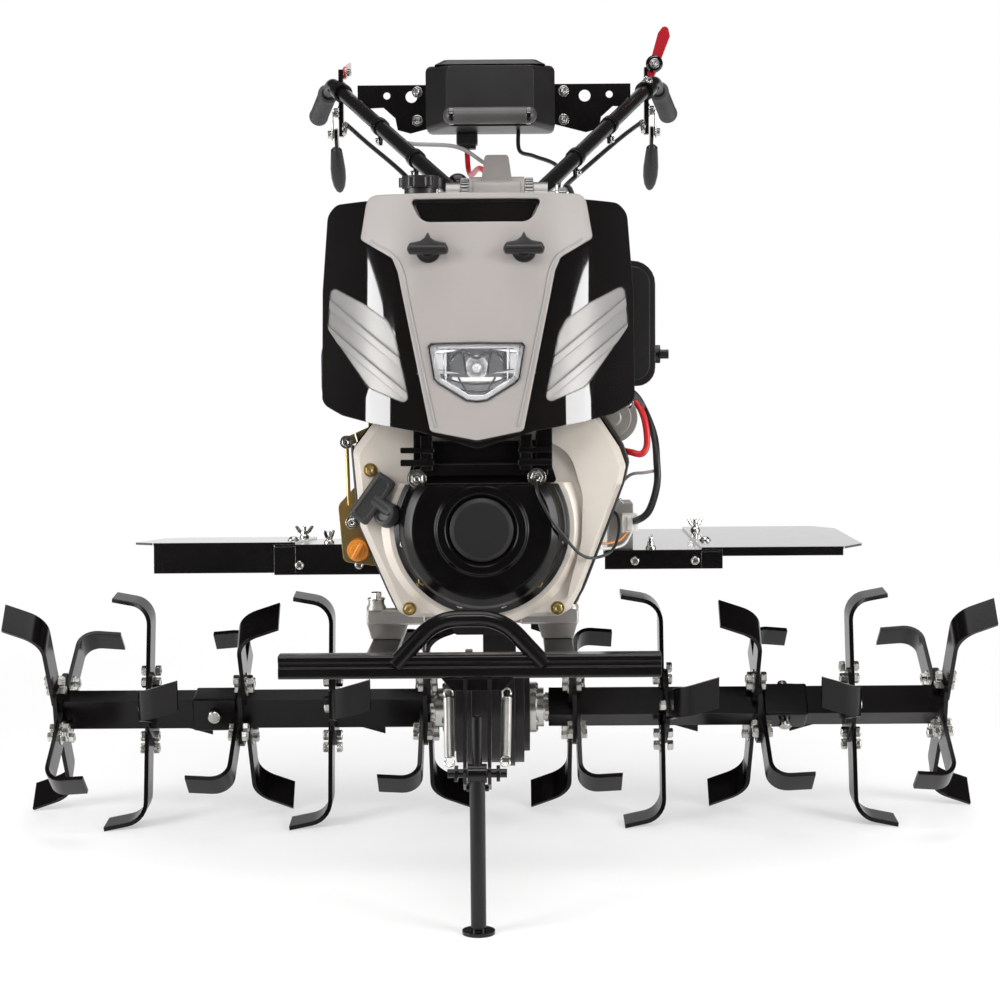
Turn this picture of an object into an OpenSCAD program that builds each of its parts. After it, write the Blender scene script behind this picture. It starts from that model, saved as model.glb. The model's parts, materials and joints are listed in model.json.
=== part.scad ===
// Walk-behind diesel power tiller: direct-drive gearbox on two tined rotors, single-cylinder
// engine behind a cowl, handlebar with a battery box, front bumper and a folding front stand.
// The front faces -Y, +X is the right of the front view, and the floor is z = 0.

/* [Rotors] */
// Distance between neighbouring tine flanges
flange_pitch = 130; // [118:1:140]
// Number of tine flanges on each rotor
flange_count = 5; // [3:1:5]
// Distance of the innermost flange from the rotors' middle
flange_first = 105; // [102:1:116]
// Half diagonal of a square tine flange
flange_reach = 62; // [56:1:68]
// Thickness of a tine flange
flange_t = 6; // [4:0.5:8]
// Outside width of the square rotor tube
tube_w = 42; // [38:1:46]
// Wall of the square rotor tube
tube_wall = 4; // [3:0.5:5]
// Width of a tine's flat bar
tine_w = 40; // [34:1:44]
// Thickness of a tine's flat bar
tine_t = 6; // [4:0.5:8]
// Radius at which a tine's bar starts to bend
tine_bend_start = 125; // [120:1:130]
// Radius of a tine's bend
tine_bend_r = 28; // [24:1:32]
// Angle of a tine's bend
tine_bend_a = 84; // [78:1:88]
// Skew of a tine's bend line from the tangent
tine_skew = 18; // [14:0.5:22]
// Sideways reach of a tine's tip from its flange
tine_side = 56; // [52:1:60]

/* [Gearbox] */
// Sideways offset of the engine and gearbox from the rotors' middle
drive_x = -16; // [-24:1:0]
// Radius of the final drive drum
drum_r = 78; // [70:1:84]
// Width of the final drive drum
drum_w = 112; // [104:1:118]
// Thickness of the narrow neck between the inner tines
neck_w = 46; // [36:1:52]
// Outside radius of an axle bearing cap
cap_r = 36; // [32:1:42]
// Length of the left axle bearing cap
cap_left = 22; // [16:1:26]
// Length of the right axle bearing cap
cap_right = 20; // [16:1:24]
// Radius of the round part of an axle stub
axle_r = 19; // [16:0.5:20]
// Width of the gear case
case_w = 172; // [160:1:180]
// Length of the gear case
case_l = 160; // [150:1:170]
// Height of the gear case
case_h = 196; // [186:1:206]
// Radius of the clutch housing
clutch_r = 96; // [88:1:98]
// Length of the clutch housing
clutch_l = 80; // [70:1:90]

/* [Engine] */
// Height of the engine's base over the axle
base_rise = 162; // [158:1:175]
// Height of the crankshaft over the engine's base
crank_h = 131; // [126:1:140]
// Distance of the engine's rear face ahead of the axle
engine_back = 105; // [100:1:115]
// Width of the crankcase
block_w = 240; // [220:1:244]
// Length of the crankcase
block_l = 195; // [185:1:205]
// Height of the crankcase
block_h = 232; // [226:1:240]
// Depth of the fan shroud
shroud_d = 85; // [75:1:92]
// Radius of the recoil starter's flange
recoil_r = 107; // [100:1:110]
// Depth of the recoil starter
recoil_d = 42; // [36:1:48]
// Width of the finned cylinder
fin_w = 170; // [150:1:180]
// Spacing of the cooling fins
fin_pitch = 14; // [12:1:18]
// Number of cooling fins
fin_count = 9; // [6:1:9]
// Width of the fuel tank
tank_w = 300; // [280:1:320]
// Length of the fuel tank
tank_l = 215; // [195:1:230]
// Height of the fuel tank
tank_h = 118; // [105:1:124]
// Radius of the electric starter motor
starter_r = 32; // [28:1:35]

/* [Cowl] */
// Half width of the cowl
cowl_half = 194; // [186:1:200]
// Distance of the cowl's nose ahead of the axle
cowl_nose = 462; // [456:1:475]
// Sweep of the cowl's sides behind its nose
cowl_sweep = 112; // [100:1:124]
// Lean of the cowl
cowl_lean = 11; // [8:0.5:13]
// Wall of the cowl's panels
cowl_wall = 5; // [4:0.5:7]
// Height of the centre panel's face over the side panels
panel_rise = 8; // [5:0.5:10]

/* [Fenders] */
// Height of the fender plates over the axle
fender_rise = 236; // [228:1:246]
// Thickness of the fender plates
fender_t = 3; // [2:0.5:4]
// Depth of the fenders from front to rear
fender_d = 310; // [280:1:330]
// Distance of the fenders' front edge ahead of the axle
fender_front = 150; // [135:1:160]
// Width of an inner fender plate
fender_in_w = 158; // [145:1:170]
// Width of an outer fender plate
fender_out_w = 222; // [200:1:240]
// Depth of a fender's deep lip
lip_deep = 38; // [30:1:42]
// Depth of a fender's shallow lip
lip_low = 9; // [7:1:14]
// Tilt of the left fender, front edge up
tilt_left = 4; // [0:0.5:5]

/* [Bumper and stand] */
// Distance of the bumper bar ahead of the axle
bumper_reach = 500; // [490:1:515]
// Length of the bumper bar
bumper_w = 448; // [420:1:470]
// Half height of the bumper's box section bar
bumper_r = 14; // [12:0.5:16]
// Radius of the bumper hoop's tube
hoop_r = 10; // [8:0.5:11]
// Half width of the bumper hoop at the bar
hoop_half = 87; // [80:1:94]
// Height of the hoop's middle line over the bar
hoop_rise = 56; // [50:1:62]
// Distance of the stand's pivot ahead of the bumper bar
stand_reach = 74; // [66:1:82]
// Height of the stand's pivot
stand_pivot_z = 188; // [176:1:196]
// Radius of the stand's leg
leg_r = 9; // [8:0.5:10]
// Radius of the stand's foot
foot_r = 19; // [16:1:24]
// Highest turn of the stand when it is folded forward
stand_fold_a = 100; // [90:1:110]

/* [Handlebar] */
// Height of the handlebar's pivot over the gear case
pivot_rise = 342; // [330:1:355]
// Distance of the handlebar's pivot behind the axle
pivot_back = 118; // [112:1:126]
// Radius of the handlebar tubes
bar_r = 12; // [11:0.5:13]
// Bend radius of the handlebar tubes
bar_bend = 60; // [45:1:75]
// Length of a hand grip
grip_l = 118; // [105:1:125]
// Radius of a hand grip
grip_r = 17; // [15:0.5:19]
// Width of the battery box
battery_w = 218; // [200:1:226]
// Height of the battery box
battery_h = 118; // [108:1:126]
// Depth of the battery box
battery_d = 92; // [80:1:98]

/* [Hitch] */
// Radius of the hitch pin hole
hitch_hole_r = 8; // [6:0.5:9]
// Gap between the hitch lugs
hitch_gap = 40; // [30:1:50]
// Thickness of a hitch lug
hitch_t = 10; // [8:1:14]

/* [Hidden] */
$fn = 48;
// Gap left between curved faces that meet, and running gap of shafts and pivots
seat_gap = 0.3;
run_gap = 0.06;

// Tines: q runs across the bend line, v across the bar, off is the height over its middle surface
tine_root = 26;
tine_sink = 1;
tine_arc = tine_bend_r * tine_bend_a * PI / 180;
tine_over = (tine_side - tine_bend_r * (1 - cos(tine_bend_a))) / sin(tine_bend_a);
tine_steps = 7;
function tine_point(q, v, off) =
  let (th = q <= 0 ? 0 : q >= tine_arc ? tine_bend_a : q / tine_bend_r * 180 / PI,
       past = max(0, q - tine_arc),
       d = min(0, q) + tine_bend_r * sin(th) + past * cos(th) - off * sin(th),
       m = -(q - v * sin(tine_skew)) / cos(tine_skew) * sin(tine_skew) + v * cos(tine_skew))
  [tine_bend_start + d * cos(tine_skew) - m * sin(tine_skew),
   d * sin(tine_skew) + m * cos(tine_skew),
   tine_bend_r * (1 - cos(th)) + past * sin(th) + off * cos(th)];
function tine_q(u, v) = (u - tine_bend_start) * cos(tine_skew) + v * sin(tine_skew);

// The outermost corner of a tine sets the rotor's radius, and the rest turn puts two rows of tips
// on the floor, half a step each side of straight down
tip_corner = tine_point(tine_arc + tine_over, -tine_w / 2, -tine_t / 2);
rotor_r = norm([tip_corner.x, tip_corner.y]);
tip_lag = atan2(tip_corner.y, tip_corner.x);
half_step = 22.5;
rest_left = half_step - tip_lag;
rest_right = -half_step - tip_lag;
axle_z = rotor_r * cos(half_step);

// Heights and stations of the drive line, with y counted from the axle
base_z = axle_z + base_rise;
crank_z = base_z + crank_h;
engine_y = -engine_back;
block_front = engine_y - block_l;
shroud_front = block_front - shroud_d;
collar_d = 10;
recoil_back = shroud_front - collar_d;
recoil_front = recoil_back - recoil_d;
block_top = base_z + block_h;
clutch_back = engine_y + clutch_l;
case_z = axle_z + rotor_r + 17;
case_top = case_z + case_h;
case_back = clutch_back + case_l;
drum_left = drive_x - drum_w / 2 + 2;
drum_right = drum_left + drum_w;
cylinder_top = block_top + fin_count * fin_pitch + 10;
cover_h = 40;
tank_z = cylinder_top + cover_h;
tank_top = tank_z + tank_h;
tank_front = -290;
fender_z = axle_z + fender_rise;
fender_in = 143;
bar_z = base_z - 22;
bumper_x = drive_x - 16;
bumper_y = -bumper_reach;
stand_x = drive_x - 7;
stand_y = bumper_y - stand_reach;
leg_lean = 7;
pivot_z = case_top + pivot_rise;
foot_t = 4;

// Handlebar: each tube runs from the pivot over its shoulder to the grip's end
bar_root_x = 54;
bar_skew = -9;
bar_half = 288;
bar_long = 682;
bar_climb = 254;
grip_out = 38;
grip_back = 152;
grip_drop = 42;
// Middle line of the left (side -1) or right (side 1) tube
function bar_side(side) =
  [[side * bar_root_x, pivot_back, pivot_z],
   [side * bar_half + bar_skew, pivot_back + bar_long, pivot_z + bar_climb],
   [side * (bar_half + grip_out) + bar_skew * 1.2, pivot_back + bar_long + grip_back, pivot_z + bar_climb - grip_drop]];
bar_route = bar_side(1);
grip_dir = (bar_route[2] - bar_route[1]) / norm(bar_route[2] - bar_route[1]);
bar_dir = (bar_route[1] - bar_route[0]) / norm(bar_route[1] - bar_route[0]);
plate_y = 640;
plate_t = 4;
battery_x = -13;
battery_z = pivot_z + 146;

// The origin is on the floor in the middle of the overall length: axle_y is the axle's place
front_reach = -stand_y - leg_lean + foot_r;
rear_reach = bar_route[2].y + grip_r * sqrt(1 - grip_dir.y * grip_dir.y);
axle_y = (front_reach - rear_reach) / 2;

// Helpers
function unit(v) = v / norm(v);
function flip_x(p) = [-p.x, p.y, p.z];

// Points of a polygon with its corners rounded, one radius for all or one for each corner
function corner_arc(a, b, c, r, n) =
  r <= 0 ? [b] :
  let (u = unit(a - b), w = unit(c - b), half = acos(max(-1, min(1, u * w))) / 2,
       t = min(r / tan(half), 0.47 * min(norm(a - b), norm(c - b))), rr = t * tan(half),
       mid = b + unit(u + w) * rr / sin(half), p = b + u * t - mid, s = b + w * t - mid,
       a1 = atan2(p.y, p.x), turn = (atan2(s.y, s.x) - a1 + 540) % 360 - 180)
  [for (i = [0:n]) mid + rr * [cos(a1 + turn * i / n), sin(a1 + turn * i / n)]];
function rounded(pts, r, n = 5) =
  [for (i = [0:len(pts) - 1])
    each corner_arc(pts[(i + len(pts) - 1) % len(pts)], pts[i], pts[(i + 1) % len(pts)],
                    is_list(r) ? r[i] : r, n)];
function rect(x0, x1, y0, y1) = [[x0, y0], [x1, y0], [x1, y1], [x0, y1]];
function mirrored(pts) = [for (i = [len(pts) - 1:-1:0]) [-pts[i].x, pts[i].y]];

// Extrude a (y, z) outline along x, or an (x, z) outline along y
module along_x(x0, x1) translate([x0, 0, 0]) rotate([90, 0, 90]) linear_extrude(x1 - x0) children();
module along_y(y0, y1) translate([0, y1, 0]) rotate([90, 0, 0]) linear_extrude(y1 - y0) children();
module round_x(x0, x1, r, y, z) translate([x0, y, z]) rotate([0, 90, 0]) cylinder(h = x1 - x0, r = r);
module round_y(y0, y1, r, x, z) translate([x, y1, z]) rotate([90, 0, 0]) cylinder(h = y1 - y0, r = r);
module towards(d) rotate([0, acos(d.z / norm(d)), atan2(d.y, d.x)]) children();
module rod(p, q, r) translate(p) towards(q - p) cylinder(h = norm(q - p), r = r);
module block(x, y, z) translate([x[0], y[0], z[0]]) cube([x[1] - x[0], y[1] - y[0], z[1] - z[0]]);

// A round cord swept along a smooth curve through its points
function spline(pts, k) =
  [for (i = [0:len(pts) - 2])
    let (a = pts[max(0, i - 1)], b = pts[i], c = pts[i + 1], d = pts[min(len(pts) - 1, i + 2)])
    for (j = [0:k - 1])
      let (t = j / k)
      b + (c - a) * t / 2 + (a * 2 - b * 5 + c * 4 - d) * t * t / 2 + (b * 3 - a - c * 3 + d) * t * t * t / 2,
   pts[len(pts) - 1]];
function tangent(p, i) = unit(p[min(len(p) - 1, i + 1)] - p[max(0, i - 1)]);
function carried(n, t) = unit(n - t * (n * t));
function normals(p, i, n) =
  i == len(p) ? [] : let (m = carried(n, tangent(p, i))) concat([m], normals(p, i + 1, m));
module sweep(p, r, sides) {
  start = abs(tangent(p, 0).z) < 0.8 ? [0, 0, 1] : [1, 0, 0];
  ns = normals(p, 0, start);
  ring = [for (i = [0:len(p) - 1])
    let (t = tangent(p, i), n = ns[i], b = cross(t, n))
    for (j = [0:sides - 1]) p[i] + r * (n * cos(j * 360 / sides) + b * sin(j * 360 / sides))];
  last = (len(p) - 1) * sides;
  polyhedron(ring, concat(
    [[for (j = [0:sides - 1]) j]],
    [[for (j = [sides - 1:-1:0]) last + j]],
    [for (i = [0:len(p) - 2], j = [0:sides - 1])
      let (a = i * sides + j, b = i * sides + (j + 1) % sides)
      each [[a, a + sides, b + sides], [a, b + sides, b]]]));
}
module cord(pts, r, k = 4, sides = 8) sweep(spline(pts, k), r, sides);

// A bent round bar: straight lengths joined by arcs
function bar_arc(a, b, c, bend, n) =
  let (u = unit(b - a), w = unit(c - b), turn = acos(u * w), t = bend * tan(turn / 2),
       side = unit(w - u * (u * w)), mid = b - u * t + side * bend)
  [for (i = [0:n]) mid - side * bend * cos(turn * i / n) + u * bend * sin(turn * i / n)];
function bent_path(pts, bend, n) =
  concat([pts[0]], [for (i = [1:1:len(pts) - 2]) each bar_arc(pts[i - 1], pts[i], pts[i + 1], bend, n)],
         [pts[len(pts) - 1]]);
module bent_bar(pts, r, bend, n = 6, sides = 20) sweep(bent_path(pts, bend, n), r, sides);

// Rotors
tine_qs = concat([for (i = [0:tine_steps]) tine_arc * i / tine_steps], [tine_arc + tine_over]);
function tine_ring(i) =
  [for (s = [-1, 1], v = [-tine_w / 2, tine_w / 2])
    tine_point(i < 0 ? tine_q(tine_root, v) : tine_qs[i], v, s * tine_t / 2)];
module tine(x, turn, way) {
  pts = [for (i = [-1:len(tine_qs) - 1]) each tine_ring(i)];
  last = len(tine_qs) * 4;
  quads = concat(
    [[0, 1, 3, 2], [last, last + 2, last + 3, last + 1]],
    [for (i = [0:4:last - 4])
      each [[i, i + 4, i + 5, i + 1], [i + 2, i + 3, i + 7, i + 6],
            [i + 1, i + 5, i + 7, i + 3], [i, i + 2, i + 6, i + 4]]]);
  placed_pts = [for (p = pts)
    [x + way * (p.z + flange_t / 2 + tine_t / 2 - tine_sink),
     -p.x * sin(turn) - p.y * cos(turn), axle_z + p.x * cos(turn) - p.y * sin(turn)]];
  tris = [for (f = quads) each [[f[0], f[1], f[2]], [f[0], f[2], f[3]]]];
  polyhedron(placed_pts, way > 0 ? tris : [for (t = tris) [t[0], t[2], t[1]]]);
}
module flange(x, turn)
  translate([x - flange_t / 2, 0, axle_z]) rotate([90 + turn, 0, 0]) rotate([0, 90, 0])
    linear_extrude(flange_t)
      polygon(rounded([for (a = [0:90:270]) flange_reach * [cos(a), sin(a)]], 14, 3));
module socket(x0, x1, half, rest) translate([0, 0, axle_z]) rotate([45 - rest, 0, 0])
  block([x0, x1], [-half, half], [-half, half]);
module rotor(side, tube_in, phase, outward_from, rest) {
  tube_out = flange_first + (flange_count - 1) * flange_pitch + flange_t / 2;
  half = tube_w / 2;
  hole = half - tube_wall;
  color("#1b1a1a") {
    difference() {
      if (side > 0) socket(tube_in, tube_out, half, rest);
      else socket(-tube_out, -tube_in, half, rest);
      if (side > 0) socket(tube_in - 1, tube_in + 70, hole, rest);
      else socket(-tube_in - 70, -tube_in + 1, hole, rest);
    }
    for (k = [0:flange_count - 1]) {
      x = side * (flange_first + k * flange_pitch);
      root = rest + 45 * ((k + phase) % 2);
      difference() {
        flange(x, -root);
        if (k == 0) socket(x - 10, x + 10, hole, rest);
      }
      for (j = [0:3])
        tine(x, root + 90 * j, side * ((j % 2 == 0) == (k >= outward_from) ? 1 : -1));
    }
  }
}
tube_in_left = -drum_left + cap_left + 7;
tube_in_right = drum_right + cap_right + 7;
module rotor_left() rotor(-1, tube_in_left, 0, 4, rest_left);
module rotor_right() rotor(1, tube_in_right, 1, 3, rest_right);
// Axle stub: round in its bearing cap, square inside the rotor tube
module axle(x_cap, x_face, x_end, side, rest) color("#b9b6ae") {
  half = tube_w / 2 - tube_wall - seat_gap / 2;
  round_x(min(x_cap, x_face + side * 4), max(x_cap, x_face + side * 4), axle_r, 0, axle_z);
  intersection() {
    socket(min(x_face, x_end), max(x_face, x_end), half, rest);
    round_x(min(x_face, x_end), max(x_face, x_end), half * 1.28, 0, axle_z);
  }
}
axle_play = 1.5;
axle_in = 62;
module axle_left() axle(drum_left - axle_play, drum_left - cap_left - 2, -tube_in_left - axle_in, -1, rest_left);
module axle_right() axle(drum_right + axle_play, drum_right + cap_right + 2, tube_in_right + axle_in, 1, rest_right);

// Gearbox
module bearing_cap(x0, x1, collar_x) color("#c4c1b8") difference() {
  union() {
    round_x(x0, x1, cap_r - 8, 0, axle_z);
    round_x(collar_x[0], collar_x[1], cap_r, 0, axle_z);
  }
  round_x(x0 - 1, x1 + 1, axle_r + run_gap, 0, axle_z);
}
module bearing_caps() {
  bearing_cap(drum_left - cap_left, drum_left, [drum_left - 9, drum_left]);
  bearing_cap(drum_right, drum_right + cap_right, [drum_right, drum_right + 9]);
}
module final_drive_case() color("#201e1e") {
  neck_y = [-46, 66];
  neck = [[-drum_r * 0.78, axle_z], [drum_r * 0.8, axle_z], [neck_y[1], axle_z + 60],
          [neck_y[1] + 14, case_z], [neck_y[0], case_z], [neck_y[0] - 8, axle_z + 60]];
  along_x(-neck_w / 2, neck_w / 2) polygon(neck);
  round_x(drum_left + 8, drum_right - 8, drum_r, 0, axle_z);
  round_x(drum_left, drum_right, drum_r - 16, 0, axle_z);
  for (x = [drum_left + 26, drum_right - 26])
    round_x(x - 5, x + 5, drum_r + 5, 0, axle_z);
}
module gear_case() color("#242222") {
  y = [clutch_back, case_back];
  x = [drive_x - case_w / 2, drive_x + case_w / 2];
  along_x(x[0] + 10, x[1] - 10)
    polygon(rounded([[y[0], case_z], [y[1] - 10, case_z], [y[1], case_z + 30], [y[1], case_top - 44],
                     [y[1] - 44, case_top], [y[0] + 12, case_top], [y[0], case_top - 20]],
                    [0, 14, 20, 26, 26, 14, 14]));
  along_x(x[0], x[1])
    polygon(rounded([[y[0] + 16, case_z + 14], [y[1] - 22, case_z + 14], [y[1] - 14, case_top - 60],
                     [y[1] - 56, case_top - 18], [y[0] + 22, case_top - 18], [y[0] + 16, case_top - 30]], 14));
  for (z = [case_z + 52, case_z + 84, case_z + 116])
    along_y(y[1], y[1] + 5) polygon(rounded(rect(drive_x - 52, drive_x + 52, z - 3, z + 3), 2, 3));
}
module clutch_housing() color("#2a2828") {
  round_y(engine_y, clutch_back, clutch_r - 6, drive_x, crank_z);
  round_y(engine_y, engine_y + 12, clutch_r, drive_x, crank_z);
  round_y(clutch_back - 12, clutch_back, clutch_r, drive_x, crank_z);
  for (a = [0:45:315])
    translate([drive_x, 0, crank_z]) rotate([0, a, 0])
      block([-5, 5], [engine_y + 6, clutch_back - 6], [clutch_r - 12, clutch_r - 1]);
}
hitch_z = case_z + 34;
hitch_y = case_back + 62;
module hitch() color("#201f1f") difference() {
  union() {
    block([drive_x - 34, drive_x + 34], [case_back + 5, case_back + 17],
          [hitch_z - hitch_gap / 2 - hitch_t, hitch_z + hitch_gap / 2 + hitch_t]);
    for (z = [hitch_z - hitch_gap / 2 - hitch_t, hitch_z + hitch_gap / 2])
      translate([0, 0, z]) linear_extrude(hitch_t)
        polygon(rounded([[drive_x - 34, case_back + 16], [drive_x + 34, case_back + 16],
                         [drive_x + 24, hitch_y + 22], [drive_x - 24, hitch_y + 22]], [0, 0, 20, 20]));
  }
  translate([drive_x, hitch_y, hitch_z - hitch_gap / 2 - hitch_t - 1])
    cylinder(h = hitch_gap + 2 * hitch_t + 2, r = hitch_hole_r);
}

// Engine
module engine_block() color("#c9c5bc") {
  x = [drive_x - block_w / 2, drive_x + block_w / 2];
  along_y(block_front, engine_y)
    polygon(rounded([[x[0] + 22, base_z], [x[1] - 22, base_z], [x[1], base_z + 30], [x[1], block_top - 46],
                     [x[1] - 36, block_top], [x[0] + 36, block_top], [x[0], block_top - 46],
                     [x[0], base_z + 30]], 12));
}
cyl_y = [-282, -132];
module cylinder_head() color("#bdb9b1") {
  translate([0, 0, block_top]) linear_extrude(cylinder_top - block_top)
    polygon(rounded(rect(drive_x - fin_w / 2 + 20, drive_x + fin_w / 2 - 20, cyl_y[0] + 18, cyl_y[1] - 18), 30));
  for (i = [0:fin_count - 1])
    translate([0, 0, block_top + 8 + i * fin_pitch]) linear_extrude(4)
      polygon(rounded(rect(drive_x - fin_w / 2, drive_x + fin_w / 2, cyl_y[0], cyl_y[1]), 18));
  translate([0, 0, cylinder_top - 0.5]) linear_extrude(cover_h + 0.5)
    polygon(rounded(rect(drive_x - 58, drive_x + 58, cyl_y[0] + 14, cyl_y[1] - 14), 16));
}
// Fan shroud: outline about the crankshaft, wider on the right for the air duct
shroud_x = drive_x - 2;
shroud_line = [[-158, 94], [-150, 0], [-116, -80], [-104, -106], [-92, -113], [93, -113], [108, -104],
               [121, -80], [152, -1], [172, 51], [177, 73], [169, 95], [120, 170], [-100, 170]];
shroud_bevel = 14;
seal_d = 7;
recoil_flat = 53;
duct_line = [[40, 170], [120, 170], [166, 95], [173, 73], [149, -1], [118, -80], [106, -98], [112, -70], [126, -20], [128, 40], [112, 92], [62, 122]];
module fan_shroud() color("#d8d4ca") {
  translate([shroud_x, 0, crank_z]) {
    along_y(shroud_front + shroud_bevel, block_front - seal_d) polygon(rounded(shroud_line, 14, 4));
    hull() {
      along_y(shroud_front + shroud_bevel - 1, shroud_front + shroud_bevel) polygon(rounded(shroud_line, 14, 4));
      along_y(shroud_front, shroud_front + 1)
        polygon(rounded([for (p = shroud_line) p * (1 - 9 / norm(p))], 14, 4));
    }
    along_y(shroud_front - 9, shroud_front + 10)
      polygon(rounded([for (p = duct_line) p * (1 - 5 / norm(p))], [10, 14, 12, 12, 30, 8, 6, 20, 40, 60, 40, 20], 6));
    difference() {
      translate([0, shroud_front + 1, 0]) rotate([90, 0, 0]) cylinder(h = collar_d + 1, r1 = 124, r2 = 113);
      block([-130, 130], [shroud_front - collar_d - 1, shroud_front], [recoil_flat + 1, 130]);
    }
  }
}
// Dark plate between the shroud and the crankcase
module shroud_seal() color("#151515") translate([shroud_x, 0, crank_z])
  along_y(block_front - seal_d, block_front) polygon(rounded([for (p = shroud_line) p * (1 + 4 / norm(p))], 16, 4));
module recoil_shape(profile) translate([shroud_x, 0, crank_z]) rotate([90, 0, 0]) rotate_extrude() polygon(profile);
disc_r = 39;
module recoil_starter() color("#141414") intersection() {
  recoil_shape([for (p = rounded([[0, 0], [recoil_r, 0], [recoil_r, 6], [101, 9], [94, 24], [84, 33], [56, 36],
                                  [54, recoil_d], [disc_r + 5, recoil_d], [disc_r, recoil_d - 7],
                                  [0, recoil_d - 7]], [0, 0, 2, 3, 8, 8, 3, 3, 3, 0, 0], 4))
                 [p.x, p.y - recoil_back]]);
  block([shroud_x - 120, shroud_x + 120], [recoil_front - 1, recoil_back], [crank_z - 120, crank_z + recoil_flat]);
}
module recoil_disc() color("#4b4b4d")
  recoil_shape([for (p = rounded([[0, recoil_d - 7], [disc_r - 0.3, recoil_d - 7], [disc_r - 0.3, recoil_d - 3],
                                  [disc_r - 6, recoil_d - 1], [0, recoil_d]], [0, 0, 2, 2, 0], 3))
                [p.x, p.y - recoil_back]]);
handle_r = 9.5;
module recoil_handle() color("#3c3d3f") {
  mid = [shroud_x - 137, shroud_front - handle_r - seat_gap, crank_z + 38];
  half = [19, 0, 25];
  rod(mid - half, mid + half, handle_r);
  translate(mid - half) sphere(handle_r);
  translate(mid + half) sphere(handle_r);
  round_y(recoil_back - 14, recoil_back - 0.2, 13, shroud_x - 122, crank_z + 12);
}
starter_gap = 10;
starter_x = drive_x + block_w / 2 + starter_r + starter_gap;
starter_z = crank_z + 129;
module starter_motor() color("#cfcac0") {
  round_y(block_front, block_front + 96, starter_r, starter_x, starter_z);
  round_y(block_front + 96, block_front + 138, starter_r - 9, starter_x, starter_z);
  round_y(block_front + 20, block_front + 84, 13, starter_x - 2, starter_z - starter_r - 9);
  block([starter_x - starter_r - starter_gap, starter_x - 12], [block_front + 8, block_front + 22], [starter_z - 34, starter_z - 6]);
}
module fuel_tank() color("#1c1c1d") {
  x = [drive_x - tank_w / 2, drive_x + tank_w / 2];
  y = [tank_front, tank_front + tank_l];
  translate([0, 0, tank_z]) linear_extrude(tank_h - 14) polygon(rounded(rect(x[0], x[1], y[0], y[1]), 34, 7));
  translate([0, 0, tank_z + tank_h - 14]) linear_extrude(14)
    polygon(rounded(rect(x[0] + 10, x[1] - 10, y[0] + 10, y[1] - 10), 30, 7));
  translate([0, 0, tank_z + tank_h * 0.45]) linear_extrude(5)
    polygon(rounded(rect(x[0] - 6, x[1] + 6, y[0], y[1] + 6), 36, 7));
}
cap_x = drive_x - tank_w * 0.27;
cap_y = tank_front + tank_l * 0.38;
cap_neck = 29;
module fuel_cap() color("#3a3b3d") translate([cap_x, cap_y, tank_top]) {
  cylinder(h = cap_neck, r = 21);
  translate([0, 0, cap_neck]) cylinder(h = 16, r = 24);
  for (a = [0:60:300])
    rotate([0, 0, a]) translate([22, 0, cap_neck + 2]) cylinder(h = 12, r = 6);
}
cleaner_gap = 8;
cleaner_w = 64;
cleaner_x = drive_x + tank_w / 2 + cleaner_gap;
cleaner_y = [-238, -96];
cleaner_z = [starter_z + starter_r + 6, tank_z + 52];
module air_cleaner() color("#3b3c3e") {
  x = [cleaner_x, cleaner_x + cleaner_w];
  along_y(cleaner_y[0] + 14, cleaner_y[1])
    polygon(rounded(rect(x[0], x[1], cleaner_z[0], cleaner_z[1]), [10, 24, 30, 10], 6));
  along_y(cleaner_y[0], cleaner_y[0] + 14)
    polygon(rounded(rect(x[0] + 8, x[1] - 8, cleaner_z[0] + 8, cleaner_z[1] - 8), [8, 20, 26, 8], 6));
  round_x(drive_x + fin_w / 2, x[0] + 2, 21, -190, cleaner_z[0] + 44);
}
module air_cleaner_knob() color("#2c2d2f") {
  x = cleaner_x + cleaner_w;
  z = (cleaner_z[0] + cleaner_z[1]) / 2 - 40;
  y = (cleaner_y[0] + cleaner_y[1]) / 2;
  round_x(x, x + 10, 12, y, z);
  along_x(x + 8, x + 20) translate([y, z]) polygon(rounded(rect(-21, 21, -6, 6), 4, 3));
}
muffler_gap = 21;
muffler_w = 102;
module muffler() color("#2b2a29") {
  x = [drive_x - fin_w / 2 - muffler_gap - muffler_w, drive_x - fin_w / 2 - muffler_gap];
  along_y(-262, -112)
    polygon(rounded(rect(x[0], x[1], block_top + 34, block_top + 142), 34, 7));
  round_x(x[1] - 4, drive_x - fin_w / 2, 18, -205, block_top + 96);
  round_y(-112, -78, 14, x[0] + 40, block_top + 60);
}

// Cowl: one leaned, swept shell cut into its panels by their front-view outlines
cowl_x = drive_x - 6;
cowl_z = crank_z + 109;
cowl_h = 300;
cowl_tail = 20;
function cowl_y(x) = -cowl_nose + cowl_sweep * pow(abs(x) / cowl_half, 3);
function cowl_slope(x) = 3 * cowl_sweep * x * abs(x) / pow(cowl_half, 3);
function cowl_in(x) = [x, cowl_y(x)] + cowl_wall * [-cowl_slope(x), 1] / norm([cowl_slope(x), 1]);
cowl_xs = [for (i = [-12:12]) cowl_half * i / 12];
cowl_end = cowl_y(cowl_half) + cowl_tail;
function cowl_outer(rise) = concat([[-cowl_half, cowl_end - rise]], [for (x = cowl_xs) [x, cowl_y(x) - rise]],
                                   [[cowl_half, cowl_end - rise]]);
cowl_inner = concat([[-cowl_half + cowl_wall, cowl_end]], [for (x = cowl_xs) cowl_in(x)],
                    [[cowl_half - cowl_wall, cowl_end]]);
function backwards(pts) = [for (i = [len(pts) - 1:-1:0]) pts[i]];
// Places the upright cowl: leaned about its lower nose
module leaned() translate([cowl_x, -cowl_nose, cowl_z]) rotate([-cowl_lean, 0, 0]) translate([0, cowl_nose, 0]) children();
module cowl_strip(front, back) leaned() translate([0, 0, -60]) linear_extrude(cowl_h + 160)
  polygon(concat(front, backwards(back)));
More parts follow.
